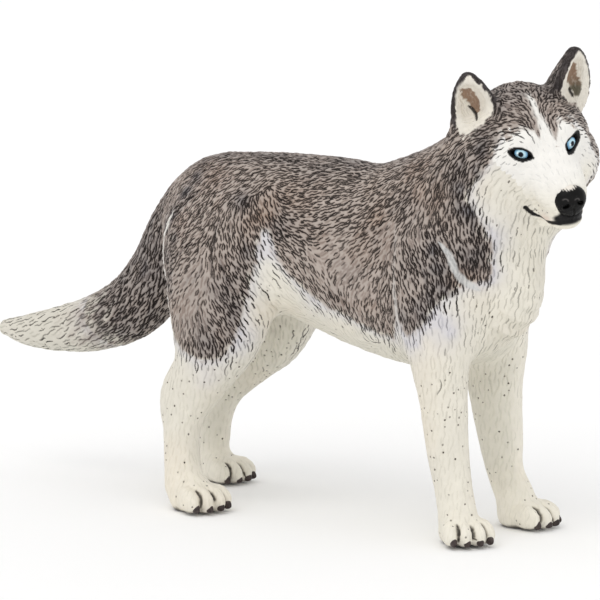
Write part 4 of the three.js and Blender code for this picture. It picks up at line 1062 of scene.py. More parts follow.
s_pale = np.where(_chest & (rng.random(len(_i)) < 0.6), rng.uniform(0.12, 0.55, len(_i)), s_pale)
s_pale = np.where((_leg[_i] > 0.5) & (_z[_i] < 24), s_pale * 0.5, s_pale)
s_ink = np.where(_tail[_i], s_ink * (0.55 + 0.45 * smooth(-2, 5, s_g)), s_ink)
s_ink = np.where(s_grey, s_ink, s_pale)
face = _head[_i] & (s_g < -0.7)
s_cut = np.where(face, s_cut * 0.5, s_cut)
_side_face = np.abs(to_head(SEEDS)[:, 1]) > 4.2
s_ink = np.where(face & (s_g < -1.2), rng.uniform(0.0, 0.12, len(_i)), s_ink)
s_ink = np.where(face & _side_face & (rng.random(len(_i)) < 0.6 * np.exp(-np.maximum(-s_g - 0.6, 0) / 1.2)), rng.uniform(0.3, 0.85, len(_i)), s_ink)
KEY = np.full(FINE_COUNT, NO_STROKE, np.int64)
engrave(LINES, s_wide, KEY)
EDGE, STROKE, _ok = read_key(KEY)
CUT = smooth(0.11, -0.09, EDGE) * np.where(_ok, s_cut[STROKE], 0)
GAIN = np.where(_ok, s_ink[STROKE], 0)
print("strokes", len(LINES), int(s_grey.sum()))

# longer, wider creases between locks on the neck, ruff, shoulders, haunch and tail
_creasy = np.where(_neck, 1.0, 0) + np.where(_tail, 0.8, 0) + 0.5 * ((_z > 36) & (_x > 20) & ~_neck & ~_head) + 0.45 * ((_x < 4) & (_x > -18) & (_z > 26)) + 0.6 * (_head & (_h[:, 0] < 5) & (np.abs(_h[:, 1]) > 5) & (_h[:, 2] < 1))
_c = scatter(16000, np.full(len(BASE_V), 1.45), np.full(len(BASE_V), 3.6), 21)
_, _i = settle(_c)
_ok = rng.random(len(_c)) < _creasy[_i]
_c, _i = _c[_ok], _i[_ok]
CREASES = trace(_c, rng.uniform(3.2, 6.0, len(_c)), 0.2, 22, K=11)
draw(CREASES, rng.uniform(0.45, 0.8, len(_c)), CREASE, rng.uniform(0.5, 1.0, len(_c)), blunt=0.45)

# dark flecks on the pale parts
_f = scatter(30000, np.full(len(BASE_V), 0.55), np.full(len(BASE_V), 0.9), 31)
_, _i = settle(_f)
_clump = smooth(0.15, 0.7, noise(_f, 4.2, 4))
_near_edge = np.exp(-np.maximum(-BASE_G[_i] - 0.5, 0) / 1.8)
_chance = 0.03 + 0.24 * _clump + 0.42 * _near_edge
_chance = np.where(_head[_i] & (_h[_i, 0] > 3), 0.006, _chance)
_legs = (_z[_i] < 24) & (BASE_G[_i] < -1)
_chance = np.where(_legs, 0.22 + 0.5 * _clump, _chance)
_chance = np.where(_z[_i] < 5, 0.16, _chance)
_ok = (BASE_G[_i] < -0.4) & (rng.random(len(_f)) < _chance)
_f = _f[_ok]
_low = _legs[_ok]
FLECKS = trace(_f, np.where(_low, rng.uniform(0.08, 0.24, len(_f)), rng.uniform(0.10, 0.55, len(_f))) + 0.3 * BASE_PLAIN[_i[_ok]], 0.2, 32, K=3)
f_wide = rng.uniform(0.075, 0.125, len(_f)) + 0.03 * _low
f_ink = np.where(_low, rng.uniform(0.6, 1.0, len(_f)), rng.uniform(0.35, 1.0, len(_f)))
KEY = np.full(FINE_COUNT, NO_STROKE, np.int64)
engrave(FLECKS, f_wide, KEY, blunt=0.15)
FLECK_EDGE, _k, _ok = read_key(KEY)
FLECK_GAIN = np.where(_ok, f_ink[_k], 0)
FLECK = smooth(0.1, -0.09, FLECK_EDGE) * FLECK_GAIN
print("flecks", len(_f))

# ---------------------------------------------------------------- features drawn by name
def on_surface(points, count):
    """A smooth line through a few places, set on the surface, as one path."""
    P = catmull(points, 12)
    d = np.concatenate([[0], np.cumsum(np.linalg.norm(np.diff(P, axis=0), axis=1))])
    t = np.linspace(0, d[-1], count)
    P = np.stack([np.interp(t, d, P[:, i]) for i in range(3)], 1)
    for _ in range(2):
        P, _i = settle(P)
    return P[None]


def line(points, width, count=None, gain=1.0, blunt=0.2, head_frame=True, out=None):
    pts = from_head(np.array(points, float)) if head_frame else np.array(points, float)
    length = np.linalg.norm(np.diff(pts, axis=0), axis=1).sum()
    out = np.zeros(FINE_COUNT) if out is None else out
    draw(on_surface(pts, count or max(4, int(length / 0.22))), width, out, gain, blunt)
    return out


FINE_H = to_head(FINE_V)
# the white line up the forehead is left clean
GAIN = GAIN * np.where((np.abs(FINE_H[:, 1]) < 1.4) & (FINE_H[:, 2] > 0.8) & (FINE_H[:, 0] > 1), smooth(-0.3, 0.05, FINE_G), 1)
MOUTH = np.zeros(FINE_COUNT)
for s in (-1, 1):
    line([(7.1, s * 4.3, -7.2), (7.3, s * 3.65, -8.1), (7.9, s * 3.1, -8.85), (9.3, s * 2.75, -9.0), (11.1, s * 2.25, -8.65), (12.7, s * 1.2, -8.3), (13.2, 0, -8.2)], 0.44, out=MOUTH, blunt=0.06)
    line([(7.1, s * 4.35, -7.1), (7.2, s * 3.9, -7.7), (7.4, s * 3.5, -8.3)], 0.42, out=MOUTH, blunt=0.2)
    line([(11.2, s * 2.2, -8.75), (12.2, s * 1.6, -8.45), (13.0, s * 0.7, -8.2), (13.2, 0, -8.15)], 0.5, out=MOUTH, blunt=0.4)
PHILTRUM = line([(13.6, 0, -7.2), (13.4, 0, -7.8), (13.2, 0, -8.2)], 0.22)
DOTS = np.zeros(FINE_COUNT)
for s in (-1, 1):
    for x, y, z in ((8.6, 2.8, -6.85), (10.6, 2.85, -6.3), (8.0, 3.0, -7.7), (9.5, 2.65, -7.3), (8.35, 2.85, -7.95), (7.85, 3.1, -7.5), (9.6, 2.75, -6.5), (10.9, 2.6, -7.2)):
        line([(x, s * y, z), (x - 0.14, s * y, z - 0.06)], 0.19, count=3, out=DOTS)

EYE_C = {s: from_head(EYES_AT[s]) for s in (-1, 1)}
EYE_R = {s: HEAD_R @ turn(s * EYE_TILT, 0, s * EYE_OUT) for s in (-1, 1)}


def eye_local(P, s):
    return (P - EYE_C[s]) @ EYE_R[s]


SOCKET, RIM, LID = (np.zeros(FINE_COUNT) for _ in range(3))
for s in (-1, 1):
    e = eye_local(FINE_V, s)
    u, v = e[:, 1] * s, e[:, 2]  # u to the outer corner, v up
    v = v - (0.07 if s < 0 else 0.12) * u  # the outer corner sits a little higher
    reach = np.where(u > 0, 1.68 if s < 0 else 2.4, 1.72 if s < 0 else 1.95)
    half_hi = 0.80 * np.clip(1 - (np.abs(u) / reach) ** 2.0, 0, 1) ** 0.8
    half_lo = 0.74 * np.clip(1 - (np.abs(u) / reach) ** 1.7, 0, 1) ** 0.9
    near = (e[:, 0] > (0 if s < 0 else -2.2)) & (np.abs(u) < 3.9) & (np.abs(v) < 3)
    inside = np.where(v > 0, v / np.maximum(half_hi, 0.04), -v / np.maximum(half_lo, 0.04))
    dist = np.where(v > 0, v - half_hi, -v - half_lo)
    SOCKET = np.maximum(SOCKET, np.where(near & (np.abs(u) < np.minimum(0.82 * reach, 1.5)), smooth(-0.16, -0.34, dist), 0))
    RIM = np.maximum(RIM, np.where(near & (np.abs(u) < reach + 0.15), smooth(0.22, 0.12, dist + 0.05 * noise(FINE_V, 0.35, 61)), 0))
    LID = np.maximum(LID, np.where(near, np.exp(-((dist - 0.32) / 0.26) ** 2) * smooth(2.6, 1.6, np.abs(u)), 0))

# toes: a groove between each two, running back from the front edge
TOE = np.zeros(FINE_COUNT)
# a dark band along the bottom of each paw: painted shade where the paw meets the floor
SOLE_SHADE = smooth(0.75, 0.15, FINE_V[:, 2] + 0.25 * noise(FINE_V, 1.3, 8))
for name, (x, y, yaw, size) in PAWS.items():
    R = turn(0, 0, yaw)
    for ty in (-1.75, 0.0, 1.75):
        tx = 1.9 if ty == 0 else 1.2
        pts = [np.array([tx + 2.35 - 0.3 * abs(ty), ty * 1.1, 0.9]), np.array([tx + 1.9, ty * 1.05, 2.1]), np.array([tx + 1.3, ty * 1.02, 2.9]), np.array([tx + 0.6, ty, 3.4])]
        pts = [np.array([x, y, 0]) + R @ (p * size) for p in pts]
        line(pts, 0.34, head_frame=False, out=TOE, blunt=0.3)

# Ears, each in its own frame: lower edge of the pale inside (place across, height), the brown hollow's
# place across and its lean, height, half width and half height, and the width of the dark rim inside,
# outside and at the tip.
EAR_FLOOR = {
    -1: np.array(((-3.3, 4.4), (-3.05, 3.6), (-1.44, 2.5), (0.15, 1.4), (1.08, 0.7), (2.13, 0.3), (2.9, 0.9), (3.4, 1.6))),
    1: np.array(((-3.6, 4.0), (-2.7, 2.9), (-1.2, 1.0), (0.74, -0.5), (2.0, -2.2), (2.6, -2.9), (3.3, -2.3), (4.2, -0.4))),
}
EAR_CUP = {-1: (0.30, 0.26, 4.55, 0.85, 2.2), 1: (0.85, -0.20, 3.6, 0.75, 3.1)}
EAR_EDGE = {-1: (0.12, 0.75, 0.26), 1: (0.40, 0.60, 0.55)}
EAR_IN, EAR_RIM, EAR_BACK, EAR_HOLLOW, EAR_SLIT = (np.zeros(FINE_COUNT) for _ in range(5))
for s in (-1, 1):
    e = ear_local(FINE_H, s)
    n = (FINE_N @ HEAD_R) * np.array([1, s, 1]) @ ear_frame(s)[1]
    z = e[:, 2]
    on = (z > (-0.6 if s < 0 else -3.2)) & (z < EAR_H + 1) & (np.abs(e[:, 1]) < EAR_SHAPE[s][0] + 0.6) & (np.abs(e[:, 0]) < EAR_D + 2) & (FINE_H[:, 1] * s > 1.5) & (FINE_H[:, 2] > (1.4 if s < 0 else -1.4))
    tc = np.clip(z / EAR_H, 0, 0.999)
    wide = EAR_SHAPE[s][0] * (1 - tc ** EAR_SHAPE[s][1]) ** 0.75 + 0.2
    frac = np.abs(e[:, 1]) / wide
    from_edge = wide - np.abs(e[:, 1])
    front = smooth(0.05, 0.35, n[:, 0])
    k0 = np.sqrt((((e - [0.9, 0, EAR_H * 0.41]) / [1.9, 2.0, EAR_H * 0.43]) ** 2).sum(1))
    cup = smooth(1.25, 1.02, k0)
    top = EAR_H - z
    ragged = 0.16 * noise(FINE_V, 0.55, 62) + 0.10 * noise(FINE_V, 0.27, 63)
    rim_in, rim_out, rim_top = EAR_EDGE[s]
    rim_wide = np.where(e[:, 1] > 0, rim_out, rim_in) + ragged
    above = z - np.interp(e[:, 1], EAR_FLOOR[s][:, 0], EAR_FLOOR[s][:, 1]) + 2 * ragged
    inner = on * np.maximum(front * smooth(-0.04, 0.12, from_edge - rim_wide) * smooth(-0.1, 0.2, top - rim_top - ragged), cup * (1 if s < 0 else smooth(-0.1, 0.1, from_edge - 0.8 * rim_wide))) * smooth(-0.15, 0.25, above)
    EAR_IN = np.maximum(EAR_IN, inner)
    band = smooth(0.35, 0.05, from_edge - rim_wide) * smooth(-0.7, -0.3, from_edge)
    EAR_RIM = np.maximum(EAR_RIM, on * smooth(-0.2, 1.2, z) * (1 - inner) * np.maximum(band * smooth(-1.4, -0.4, e[:, 0]), smooth(0.5, 0.2, top - rim_top)) * smooth(-0.6, 0.3, above))
    EAR_BACK = np.maximum(EAR_BACK, on * smooth(0.5, 1.6, z) * (1 - inner) * smooth(-0.9, -0.2, from_edge))
    cy, lean, cz, wy, wz = EAR_CUP[s]
    k1 = np.sqrt(((e[:, 1] - cy - lean * (z - cz)) / wy) ** 2 + ((z - cz) / wz) ** 2)
    EAR_HOLLOW = np.maximum(EAR_HOLLOW, on * smooth(1.25, 0.75, k1 + 1.4 * ragged) * smooth(0.3, 0.8, n[:, 0] + 0.8 * (e[:, 0] < 0.2)))
    foot, R = ear_frame(s)
    slit = ((-0.7, 0.95, 3.3), (-0.3, 0.4, 2.95), (0.5, -0.2, 2.6), (1.5, -0.6, 2.3)) if s < 0 else ((-0.5, 0.5, 1.8), (-0.2, 0.6, 1.1), (0.0, 0.7, 0.5))
    line([(foot + R @ np.array(p)) * np.array([1, s, 1]) for p in slit], 0.34, out=EAR_SLIT)

# the moulded edge down the back of each thigh, painted pale
SEAM = np.zeros(FINE_COUNT)
for s in (1, -1):
    pts = [(np.array(p) - CHART) * np.array([1, s, 1]) for p in ((-14.2, -6.6, 41.5), (-15.6, -6.9, 38.6), (-16.1, -7.2, 35.4), (-15.8, -7.6, 32.2), (-14.9, -8.2, 29.2), (-13.6, -9.0, 26.4), (-12.2, -9.8, 24.4))]
    line(pts, 0.42, head_frame=False, out=SEAM, blunt=0.1)
# a raised fold down the shoulder
FOLD = np.zeros(FINE_COUNT)
for s in (1, -1):
    pts = [(np.array(p) - CHART) * np.array([1, s, 1]) for p in ((33.2, -8.9, 40.6), (34.8, -8.9, 39.1), (36.0, -8.8, 36.8), (37.1, -8.1, 35.5), (38.2, -6.4, 34.3))]
    line(pts, 0.9, head_frame=False, out=FOLD, blunt=0.3)
ELBOW_FOLD = np.zeros(FINE_COUNT)
for s in (1, -1):
    pts = [(np.array(p) - CHART) * np.array([1, s, 1]) for p in ((25.4, -9.2, 43.0), (26.2, -9.4, 39.5), (26.6, -9.9, 35.5), (26.9, -10.1, 31.6), (27.2, -9.8, 28.0))]
    line(pts, 0.6, head_frame=False, out=ELBOW_FOLD, blunt=0.3)

# ---------------------------------------------------------------- depth
dark_side = smooth(-0.5, 0.5, FINE_G)
ear_thin = np.clip(EAR_IN + EAR_RIM + EAR_BACK, 0, 1)
relief = 0.19 * CUT * (1 - 0.6 * ear_thin) * (1 - 0.4 * (1 - dark_side))
bulge = 0.06 * noise(FINE_V, 1.1, 2) + 0.07 * noise(FINE_V, 0.5, 3) * (0.35 + 0.65 * dark_side)
bulge += 0.10 * noise(FINE_V, 0.62, 4) * dark_side * (PIECE_OF_FINE == PIECES.index("head")) * smooth(0.0, 2.0, FINE_H[:, 2]) * smooth(4.5, 2.0, FINE_H[:, 0])
on_leg = smooth(18, 12, FINE_V[:, 2])
face_soft = ((PIECE_OF_FINE == PIECES.index("head")) & (FINE_G < -1)).astype(float)
move = -relief - 0.22 * CREASE**1.5 + bulge * (1 - 0.5 * on_leg) * (1 - 0.6 * face_soft) * (1 - 0.6 * ear_thin)
move -= 0.10 * np.clip(FLECK, 0, 1) + 0.18 * MOUTH + 0.12 * PHILTRUM + 0.10 * DOTS + 0.32 * smooth(0, 1, TOE) + 0.12 * EAR_SLIT
move += 0.14 * SEAM * (0.6 + 0.4 * noise(FINE_V, 0.7, 9)) + 0.16 * smooth(0, 1, FOLD) - 0.10 * smooth(0, 1, ELBOW_FOLD)
move += 0.10 * LID * (1 - SOCKET)
move = move * (1 - SOCKET) - 0.75 * SOCKET
move *= smooth(0.02, 0.35, FINE_V[:, 2] + 0.03)
COAT_V = FINE_V + move[:, None] * FINE_N
COAT_V[:, 2] = np.maximum(COAT_V[:, 2], 0.0)
COAT_N = normals(COAT_V, FINE_Q)

# ---------------------------------------------------------------- paint
n_wide, n_mid, n_small = noise(FINE_V, 4.5, 12), noise(FINE_V, 1.6, 13), noise(FINE_V, 0.5, 14)
per_stroke = np.clip(np.random.default_rng(17).normal(0, 1, len(LINES))[STROKE], -2, 2)


def mix(a, b, t):
    t = np.clip(t, 0, 1)[:, None]
    return a * (1 - t) + b * t


def paint():
    g = FINE_G + 0.40 * n_mid + 0.55 * per_stroke + 0.18 * n_small
    tail = PIECE_OF_FINE == PIECES.index("tail")
    g = np.where(tail, FINE_G + 1.6 * per_stroke + 1.2 * n_mid, g)
    head_ = PIECE_OF_FINE == PIECES.index("head")
    g = np.where(head_ & (np.abs(FINE_H[:, 1]) < 4) & (FINE_H[:, 2] > 0.5), FINE_G + 0.12 * n_mid + 0.10 * per_stroke + 0.08 * n_small, g)
    # on the body the pale paint is dragged over the first ridges of the dark coat
    drag = ~tail & ~(head_ & (np.abs(FINE_H[:, 1]) < 5)) & (FINE_V[:, 2] > 14)
    g = np.where(drag, g - 0.5 - 0.35 * per_stroke, g)
    soft = np.where(tail, 4.6, np.where(drag, 0.6, 0.35))
    dark = smooth(-1, 1, g / soft)
    cream, taupe = linear(CREAM), linear(TAUPE)
    base = np.repeat(cream[None], FINE_COUNT, 0)
    base = base * (1 + 0.035 * n_wide + 0.02 * n_mid)[:, None] * np.array([1, 1, 1])
    base = mix(base, base * np.array([1.0, 0.95, 0.90]), 0.6 * smooth(0.1, 0.9, noise(FINE_V, 7, 15)))
    hind = np.isin(PIECE_OF_FINE, [i for i, name in enumerate(PIECES) if name.startswith("hind")])
    # the pale paint is made duller piece by piece (the tail most, then the hind legs, the rest of the body, the left
    # foreleg least), a little brighter on the head, and at the paws by a quarter as much
    pale_tone = np.where(tail, 0.77, np.where(hind, 0.88, np.where(head_, 1.02, 0.92)))
    pale_tone = np.where(PIECE_OF_FINE == PIECES.index("foreleg_left"), 0.98, pale_tone)
    base = base * (1 - (1 - pale_tone) * (0.25 + 0.75 * smooth(4, 10, FINE_V[:, 2])))[:, None]
    base = mix(base, linear(LAVENDER) * np.ones_like(base), np.clip(FINE_BLUE * (0.9 + 0.5 * n_mid) + 0.55 * np.exp(-np.maximum(-FINE_G, 0) / 0.9) * (FINE_G < 0.6) * ~(head_ & ((FINE_H[:, 0] > 5.5) | (np.abs(FINE_H[:, 1]) < 3))), 0, 0.9))
    # the upper face is a cooler, cleaner white
    base = mix(base, np.repeat(linear((243, 243, 244))[None], FINE_COUNT, 0), 0.6 * head_ * smooth(-7, -1.5, FINE_H[:, 2]))
    # painted shade: a dull grey-green darkening on the faces turned under or in between the legs
    z_ = FINE_V[:, 2]
    inward = smooth(0.05, 0.75, -FINE_N[:, 1] * np.sign(FINE_V[:, 1])) * smooth(35, 31, z_)
    under = smooth(0.3, 0.9, -FINE_N[:, 2])
    base = mix(base, np.repeat(linear((186, 185, 170))[None], FINE_COUNT, 0), 0.30 * np.maximum(inward, under) * smooth(3, 8, z_) * ~head_)
    coat = np.repeat(taupe[None], FINE_COUNT, 0)
    coat = mix(coat, linear(PALE_TAUPE) * np.ones_like(coat), 0.25 + 0.15 * per_stroke + 0.2 * n_small)
    coat = mix(coat, linear(WARM) * np.ones_like(coat), np.clip(FINE_WARM * (1 + 0.5 * n_mid), 0, 1) * 0.8 + 0.22 * smooth(0.2, 0.9, noise(FINE_V, 3.1, 16)))
    coat = mix(coat, linear(CHARCOAL) * np.ones_like(coat), 0.85 * FINE_DARK * (1 + 0.45 * n_mid) + 0.16 * smooth(0.1, 0.8, n_wide))
    coat = coat * (1 - 0.13 * FINE_PLAIN * smooth(-2, -8, FINE_V[:, 0]))[:, None]
    temple = head_ * smooth(4.0, 5.5, np.abs(FINE_H[:, 1])) * smooth(3.6, 1.8, FINE_H[:, 2])
    coat = mix(coat, np.repeat(linear((204, 194, 186))[None], FINE_COUNT, 0), temple * (0.32 + 0.25 * per_stroke))
    coat = coat * (1 + 0.05 * n_wide)[:, None]
    col = mix(base, coat, dark)
    # dark wash in the grooves
    ink = linear(INK)
    col = mix(col, linear(CHARCOAL) * np.ones_like(col), 0.35 * smooth(0.2, 0.9, CREASE) * dark)
    # ears
    rim = linear((62, 57, 59)) * np.ones_like(col)
    col = mix(col, rim, EAR_RIM * (0.82 + 0.15 * n_mid))
    col = mix(col, linear((110, 100, 95)) * np.ones_like(col), EAR_BACK * (1 - EAR_RIM) * 0.5)
    col = mix(col, linear((234, 228, 216)) * (1 + 0.05 * n_small)[:, None], EAR_IN)
    low = smooth(1.8, -0.6, FINE_H[:, 2] - 3.6 + 0.6 * n_small) * (FINE_H[:, 1] > 0)
    cup = mix(np.repeat(linear((150, 125, 105))[None], FINE_COUNT, 0), np.repeat(linear((100, 95, 80))[None], FINE_COUNT, 0), low)
    col = mix(col, cup, smooth(0.2, 0.8, EAR_HOLLOW + 0.12 * n_mid) * EAR_IN)
    col = mix(col, ink * np.ones_like(col), smooth(0.15, 0.55, EAR_SLIT + 0.1 * n_small * (EAR_SLIT > 0)) * 0.95)
    # face
    black = linear(BLACK) * np.ones_like(col)
    lip = np.exp(-((FINE_H[:, 0] - 10.0) ** 2 / 1.8 + (np.abs(FINE_H[:, 1]) - 2.4) ** 2 / 1.6 + (FINE_H[:, 2] + 8.3) ** 2 / 0.4))
    col = mix(col, linear(ROSE) * np.ones_like(col), 0.6 * lip)
    chin = np.exp(-((FINE_H[:, 0] - 13.3) ** 2 / 5.0 + FINE_H[:, 1] ** 2 / 5.6 + (FINE_H[:, 2] + 7.9) ** 2 / 1.6))
    col = mix(col, black, smooth(0.22, 0.42, chin + 0.12 * n_small) * smooth(-9.0, -8.5, FINE_H[:, 2]))
    col = mix(col, black, smooth(0.12, 0.4, MOUTH + 0.12 * n_small * (MOUTH > 0)))
    col = mix(col, black, smooth(0.2, 0.6, PHILTRUM))
    col = mix(col, linear(SPECK) * 0.6 * np.ones_like(col), smooth(0.2, 0.6, DOTS))
    col = mix(col, black, RIM)
    # toes, and painted shade along the bottom of each paw where it meets the floor
    col = mix(col, linear((44, 37, 32)) * np.ones_like(col), smooth(0.22, 0.7, TOE) * 0.92)
    col = mix(col, linear((188, 178, 160)) * np.ones_like(col), 0.5 * smooth(0.02, 0.4, TOE) * (1 - smooth(0.25, 0.8, TOE)))
    col = mix(col, linear((58, 50, 44)) * np.ones_like(col), SOLE_SHADE * 0.85)
    # pale paint along the thigh edges and the shoulder and elbow folds
    col = mix(col, linear((240, 236, 230)) * np.ones_like(col), smooth(0.2, 0.5, SEAM + 0.35 * n_small * (SEAM > 0)) * 0.95)
    col = mix(col, linear((205, 206, 205)) * np.ones_like(col), smooth(0.2, 0.7, FOLD + 0.2 * n_small * (FOLD > 0)) * 0.85)
    col = mix(col, linear((208, 204, 200)) * np.ones_like(col), smooth(0.2, 0.7, ELBOW_FOLD + 0.25 * n_small * (ELBOW_FOLD > 0)) * (0.25 + 0.6 * smooth(37, 31, z_)))
    return np.clip(col, 0, 1)


PAINT = paint()
# distance beyond the nearest stroke (kept positive), its ink, the same for the nearest fleck
_bare = np.clip(EAR_IN + RIM + 0.25 * EAR_RIM + 0.85 * smooth(0.2, 0.6, FOLD) + 0.8 * smooth(0.2, 0.5, SEAM) + 0.7 * smooth(0.2, 0.6, ELBOW_FOLD) * smooth(37, 31, FINE_V[:, 2]), 0, 1)
# the painted dark features take no pale crest from the strokes round them
_chin = np.exp(-((FINE_H[:, 0] - 13.3) ** 2 / 5.0 + FINE_H[:, 1] ** 2 / 5.6 + (FINE_H[:, 2] + 7.9) ** 2 / 1.6))
_black = np.clip(RIM + EAR_RIM + SOLE_SHADE + smooth(0.1, 0.4, MOUTH) + smooth(0.1, 0.4, PHILTRUM) + smooth(0.1, 0.4, DOTS) + smooth(0.1, 0.5, TOE) + smooth(0.1, 0.4, EAR_SLIT) + smooth(0.2, 0.4, _chin), 0, 1)
_edge = EDGE + (np.minimum(EDGE, 0.03) - EDGE) * _black
STROKES = np.stack([0.5 + _edge, GAIN * (1 - _bare), 0.5 + FLECK_EDGE, FLECK_GAIN * (1 - _bare)], 1)
print("painted")

# ---------------------------------------------------------------- materials
def tree_of(mat):
    mat.use_nodes = True
    nt = mat.node_tree
    nt.nodes.clear()
    out = nt.nodes.new("ShaderNodeOutputMaterial")
    b = nt.nodes.new("ShaderNodeBsdfPrincipled")
    nt.links.new(b.outputs[0], out.inputs[0])
    return nt, b


def ranged(nt, socket, a, b, lo=0.0, hi=1.0, curve="SMOOTHSTEP"):
    n = nt.nodes.new("ShaderNodeMapRange")
    n.interpolation_type = curve
    for name, value in (("From Min", a), ("From Max", b), ("To Min", lo), ("To Max", hi)):
        n.inputs[name].default_value = value
    nt.links.new(socket, n.inputs["Value"])
    return n.outputs[0]


def maths(nt, kind, a, b):
    n = nt.nodes.new("ShaderNodeMath")
    n.operation = kind
    for i, v in enumerate((a, b)):
        if isinstance(v, (int, float)):
            n.inputs[i].default_value = v
        else:
            nt.links.new(v, n.inputs[i])
    return n.outputs[0]


def blend(nt, factor, a, b):
    n = nt.nodes.new("ShaderNodeMix")
    n.data_type = "RGBA"
    nt.links.new(factor, n.inputs[0])
    for i, v in ((6, a), (7, b)):
        if isinstance(v, tuple):
            n.inputs[i].default_value = v + (1.0,)
        else:
            nt.links.new(v, n.inputs[i])
    return n.outputs[2]


def painted_material(name, rough=0.52, grain=0.16, strokes=False):
    mat = bpy.data.materials.new(name)
    nt, b = tree_of(mat)
    at = nt.nodes.new("ShaderNodeAttribute")
    at.attribute_name = "paint"
    tc = nt.nodes.new("ShaderNodeTexCoord")
    fine = nt.nodes.new("ShaderNodeTexNoise")
    fine.inputs["Scale"].default_value = 5200
    fine.inputs["Detail"].default_value = 3
    wide = nt.nodes.new("ShaderNodeTexNoise")
    wide.inputs["Scale"].default_value = 900
    wide.inputs["Detail"].default_value = 4
    for n in (fine, wide):
        nt.links.new(tc.outputs["Object"], n.inputs["Vector"])
    ramp = nt.nodes.new("ShaderNodeMapRange")
    ramp.inputs["To Min"].default_value = 0.90
    ramp.inputs["To Max"].default_value = 1.10
    nt.links.new(wide.outputs["Fac"], ramp.inputs["Value"])
    mul = nt.nodes.new("ShaderNodeVectorMath")
    mul.operation = "SCALE"
    nt.links.new(at.outputs["Color"], mul.inputs[0])
    nt.links.new(ramp.outputs[0], mul.inputs["Scale"])
    colour, height = mul.outputs[0], None
    if strokes:
        st = nt.nodes.new("ShaderNodeAttribute")
        st.attribute_name = "strokes"
        ch = nt.nodes.new("ShaderNodeSeparateColor")
        nt.links.new(st.outputs["Color"], ch.inputs[0])
        wobble = nt.nodes.new("ShaderNodeTexNoise")
        wobble.inputs["Scale"].default_value = 9000
        wobble.inputs["Detail"].default_value = 2
        nt.links.new(tc.outputs["Object"], wobble.inputs["Vector"])
        shake = ranged(nt, wobble.outputs["Fac"], 0.3, 0.7, -0.03, 0.03, "LINEAR")
        edge = maths(nt, "ADD", ch.outputs[0], shake)
        spot = maths(nt, "ADD", ch.outputs[2], shake)
        crest = ranged(nt, edge, 0.54, 0.66)
        colour = blend(nt, maths(nt, "MULTIPLY", crest, 0.17), colour, tuple(linear((232, 226, 218)).tolist()))
        ink_mask = maths(nt, "MULTIPLY", ranged(nt, edge, 0.565, 0.485), ch.outputs[1])
        colour = blend(nt, ink_mask, colour, tuple(linear(INK).tolist()))
        speck_mask = maths(nt, "MULTIPLY", ranged(nt, spot, 0.53, 0.46), st.outputs["Alpha"])
        colour = blend(nt, speck_mask, colour, tuple(linear(SPECK).tolist()))
        height = maths(nt, "ADD", ranged(nt, edge, 0.42, 0.60), ranged(nt, spot, 0.42, 0.58))
    nt.links.new(colour, b.inputs["Base Color"])
    r = nt.nodes.new("ShaderNodeMapRange")
    r.inputs["To Min"].default_value = rough - 0.08
    r.inputs["To Max"].default_value = rough + 0.12
    nt.links.new(wide.outputs["Fac"], r.inputs["Value"])
    nt.links.new(r.outputs[0], b.inputs["Roughness"])
    bump = nt.nodes.new("ShaderNodeBump")
    bump.inputs["Strength"].default_value = grain
    bump.inputs["Distance"].default_value = 0.00005
    nt.links.new(fine.outputs["Fac"], bump.inputs["Height"])
    if height is not None:
        cut = nt.nodes.new("ShaderNodeBump")
        cut.inputs["Strength"].default_value = 0.5
        cut.inputs["Distance"].default_value = 0.00007
        nt.links.new(height, cut.inputs["Height"])
        nt.links.new(bump.outputs[0], cut.inputs["Normal"])
        bump = cut
    nt.links.new(bump.outputs[0], b.inputs["Normal"])
    b.inputs["Specular IOR Level"].default_value = 0.2
    return mat


COAT_MAT = painted_material("painted_coat", strokes=True)
SKIN_MAT = painted_material("painted_skin", rough=0.6, grain=0.05)


def add_mesh(name, V, Q, mat, nor=None, colour=None, uv=None, strokes=None):
    me = bpy.data.meshes.new(name)
    k = Q.shape[1]
    me.vertices.add(len(V))
    me.vertices.foreach_set("co", ((V + SHIFT) * MM).astype(F).ravel())
    me.loops.add(len(Q) * k)
    me.loops.foreach_set("vertex_index", Q.astype(np.int32).ravel())
    me.polygons.add(len(Q))
    me.polygons.foreach_set("loop_start", np.arange(0, len(Q) * k, k, dtype=np.int32))
    me.polygons.foreach_set("use_smooth", np.ones(len(Q), bool))
    me.update(calc_edges=True)
    if colour is not None:
        a = me.color_attributes.new("paint", "FLOAT_COLOR", "POINT")
        a.data.foreach_set("color", np.concatenate([colour, np.ones((len(colour), 1))], 1).astype(F).ravel())
    if strokes is not None:
        a = me.color_attributes.new("strokes", "FLOAT_COLOR", "POINT")
        a.data.foreach_set("color", strokes.astype(F).ravel())
    if uv is not None:
        layer = me.uv_layers.new(name="OFBake")
        layer.data.foreach_set("uv", uv.astype(F).ravel())
    me.validate(verbose=False)
    if nor is not None:
        me.normals_split_custom_set_from_vertices(nor)
    me.materials.append(mat)
    ob = bpy.data.objects.new(name, me)
    bpy.context.scene.collection.objects.link(ob)
    return ob


def unwrap(V, Q):
    """An even unwrap of a smooth piece: one uv for each corner of each facet."""
    me = bpy.data.meshes.new("unwrap")
    me.from_pydata(V.tolist(), [], Q.tolist())
    ob = bpy.data.objects.new("unwrap", me)
    bpy.context.scene.collection.objects.link(ob)
    for o in bpy.context.selected_objects:
        o.select_set(False)
    bpy.context.view_layer.objects.active = ob
    ob.select_set(True)
    bpy.ops.object.mode_set(mode="EDIT")
    bpy.ops.mesh.select_all(action="SELECT")
    bpy.ops.uv.smart_project(angle_limit=math.radians(60), island_margin=0.006)
    bpy.ops.object.mode_set(mode="OBJECT")
    uv = np.empty(len(me.loops) * 2, F)
    me.uv_layers[0].data.foreach_get("uv", uv)
    bpy.data.objects.remove(ob)
    bpy.data.meshes.remove(me)
    return uv.reshape(len(Q), 4, 2).astype(float)


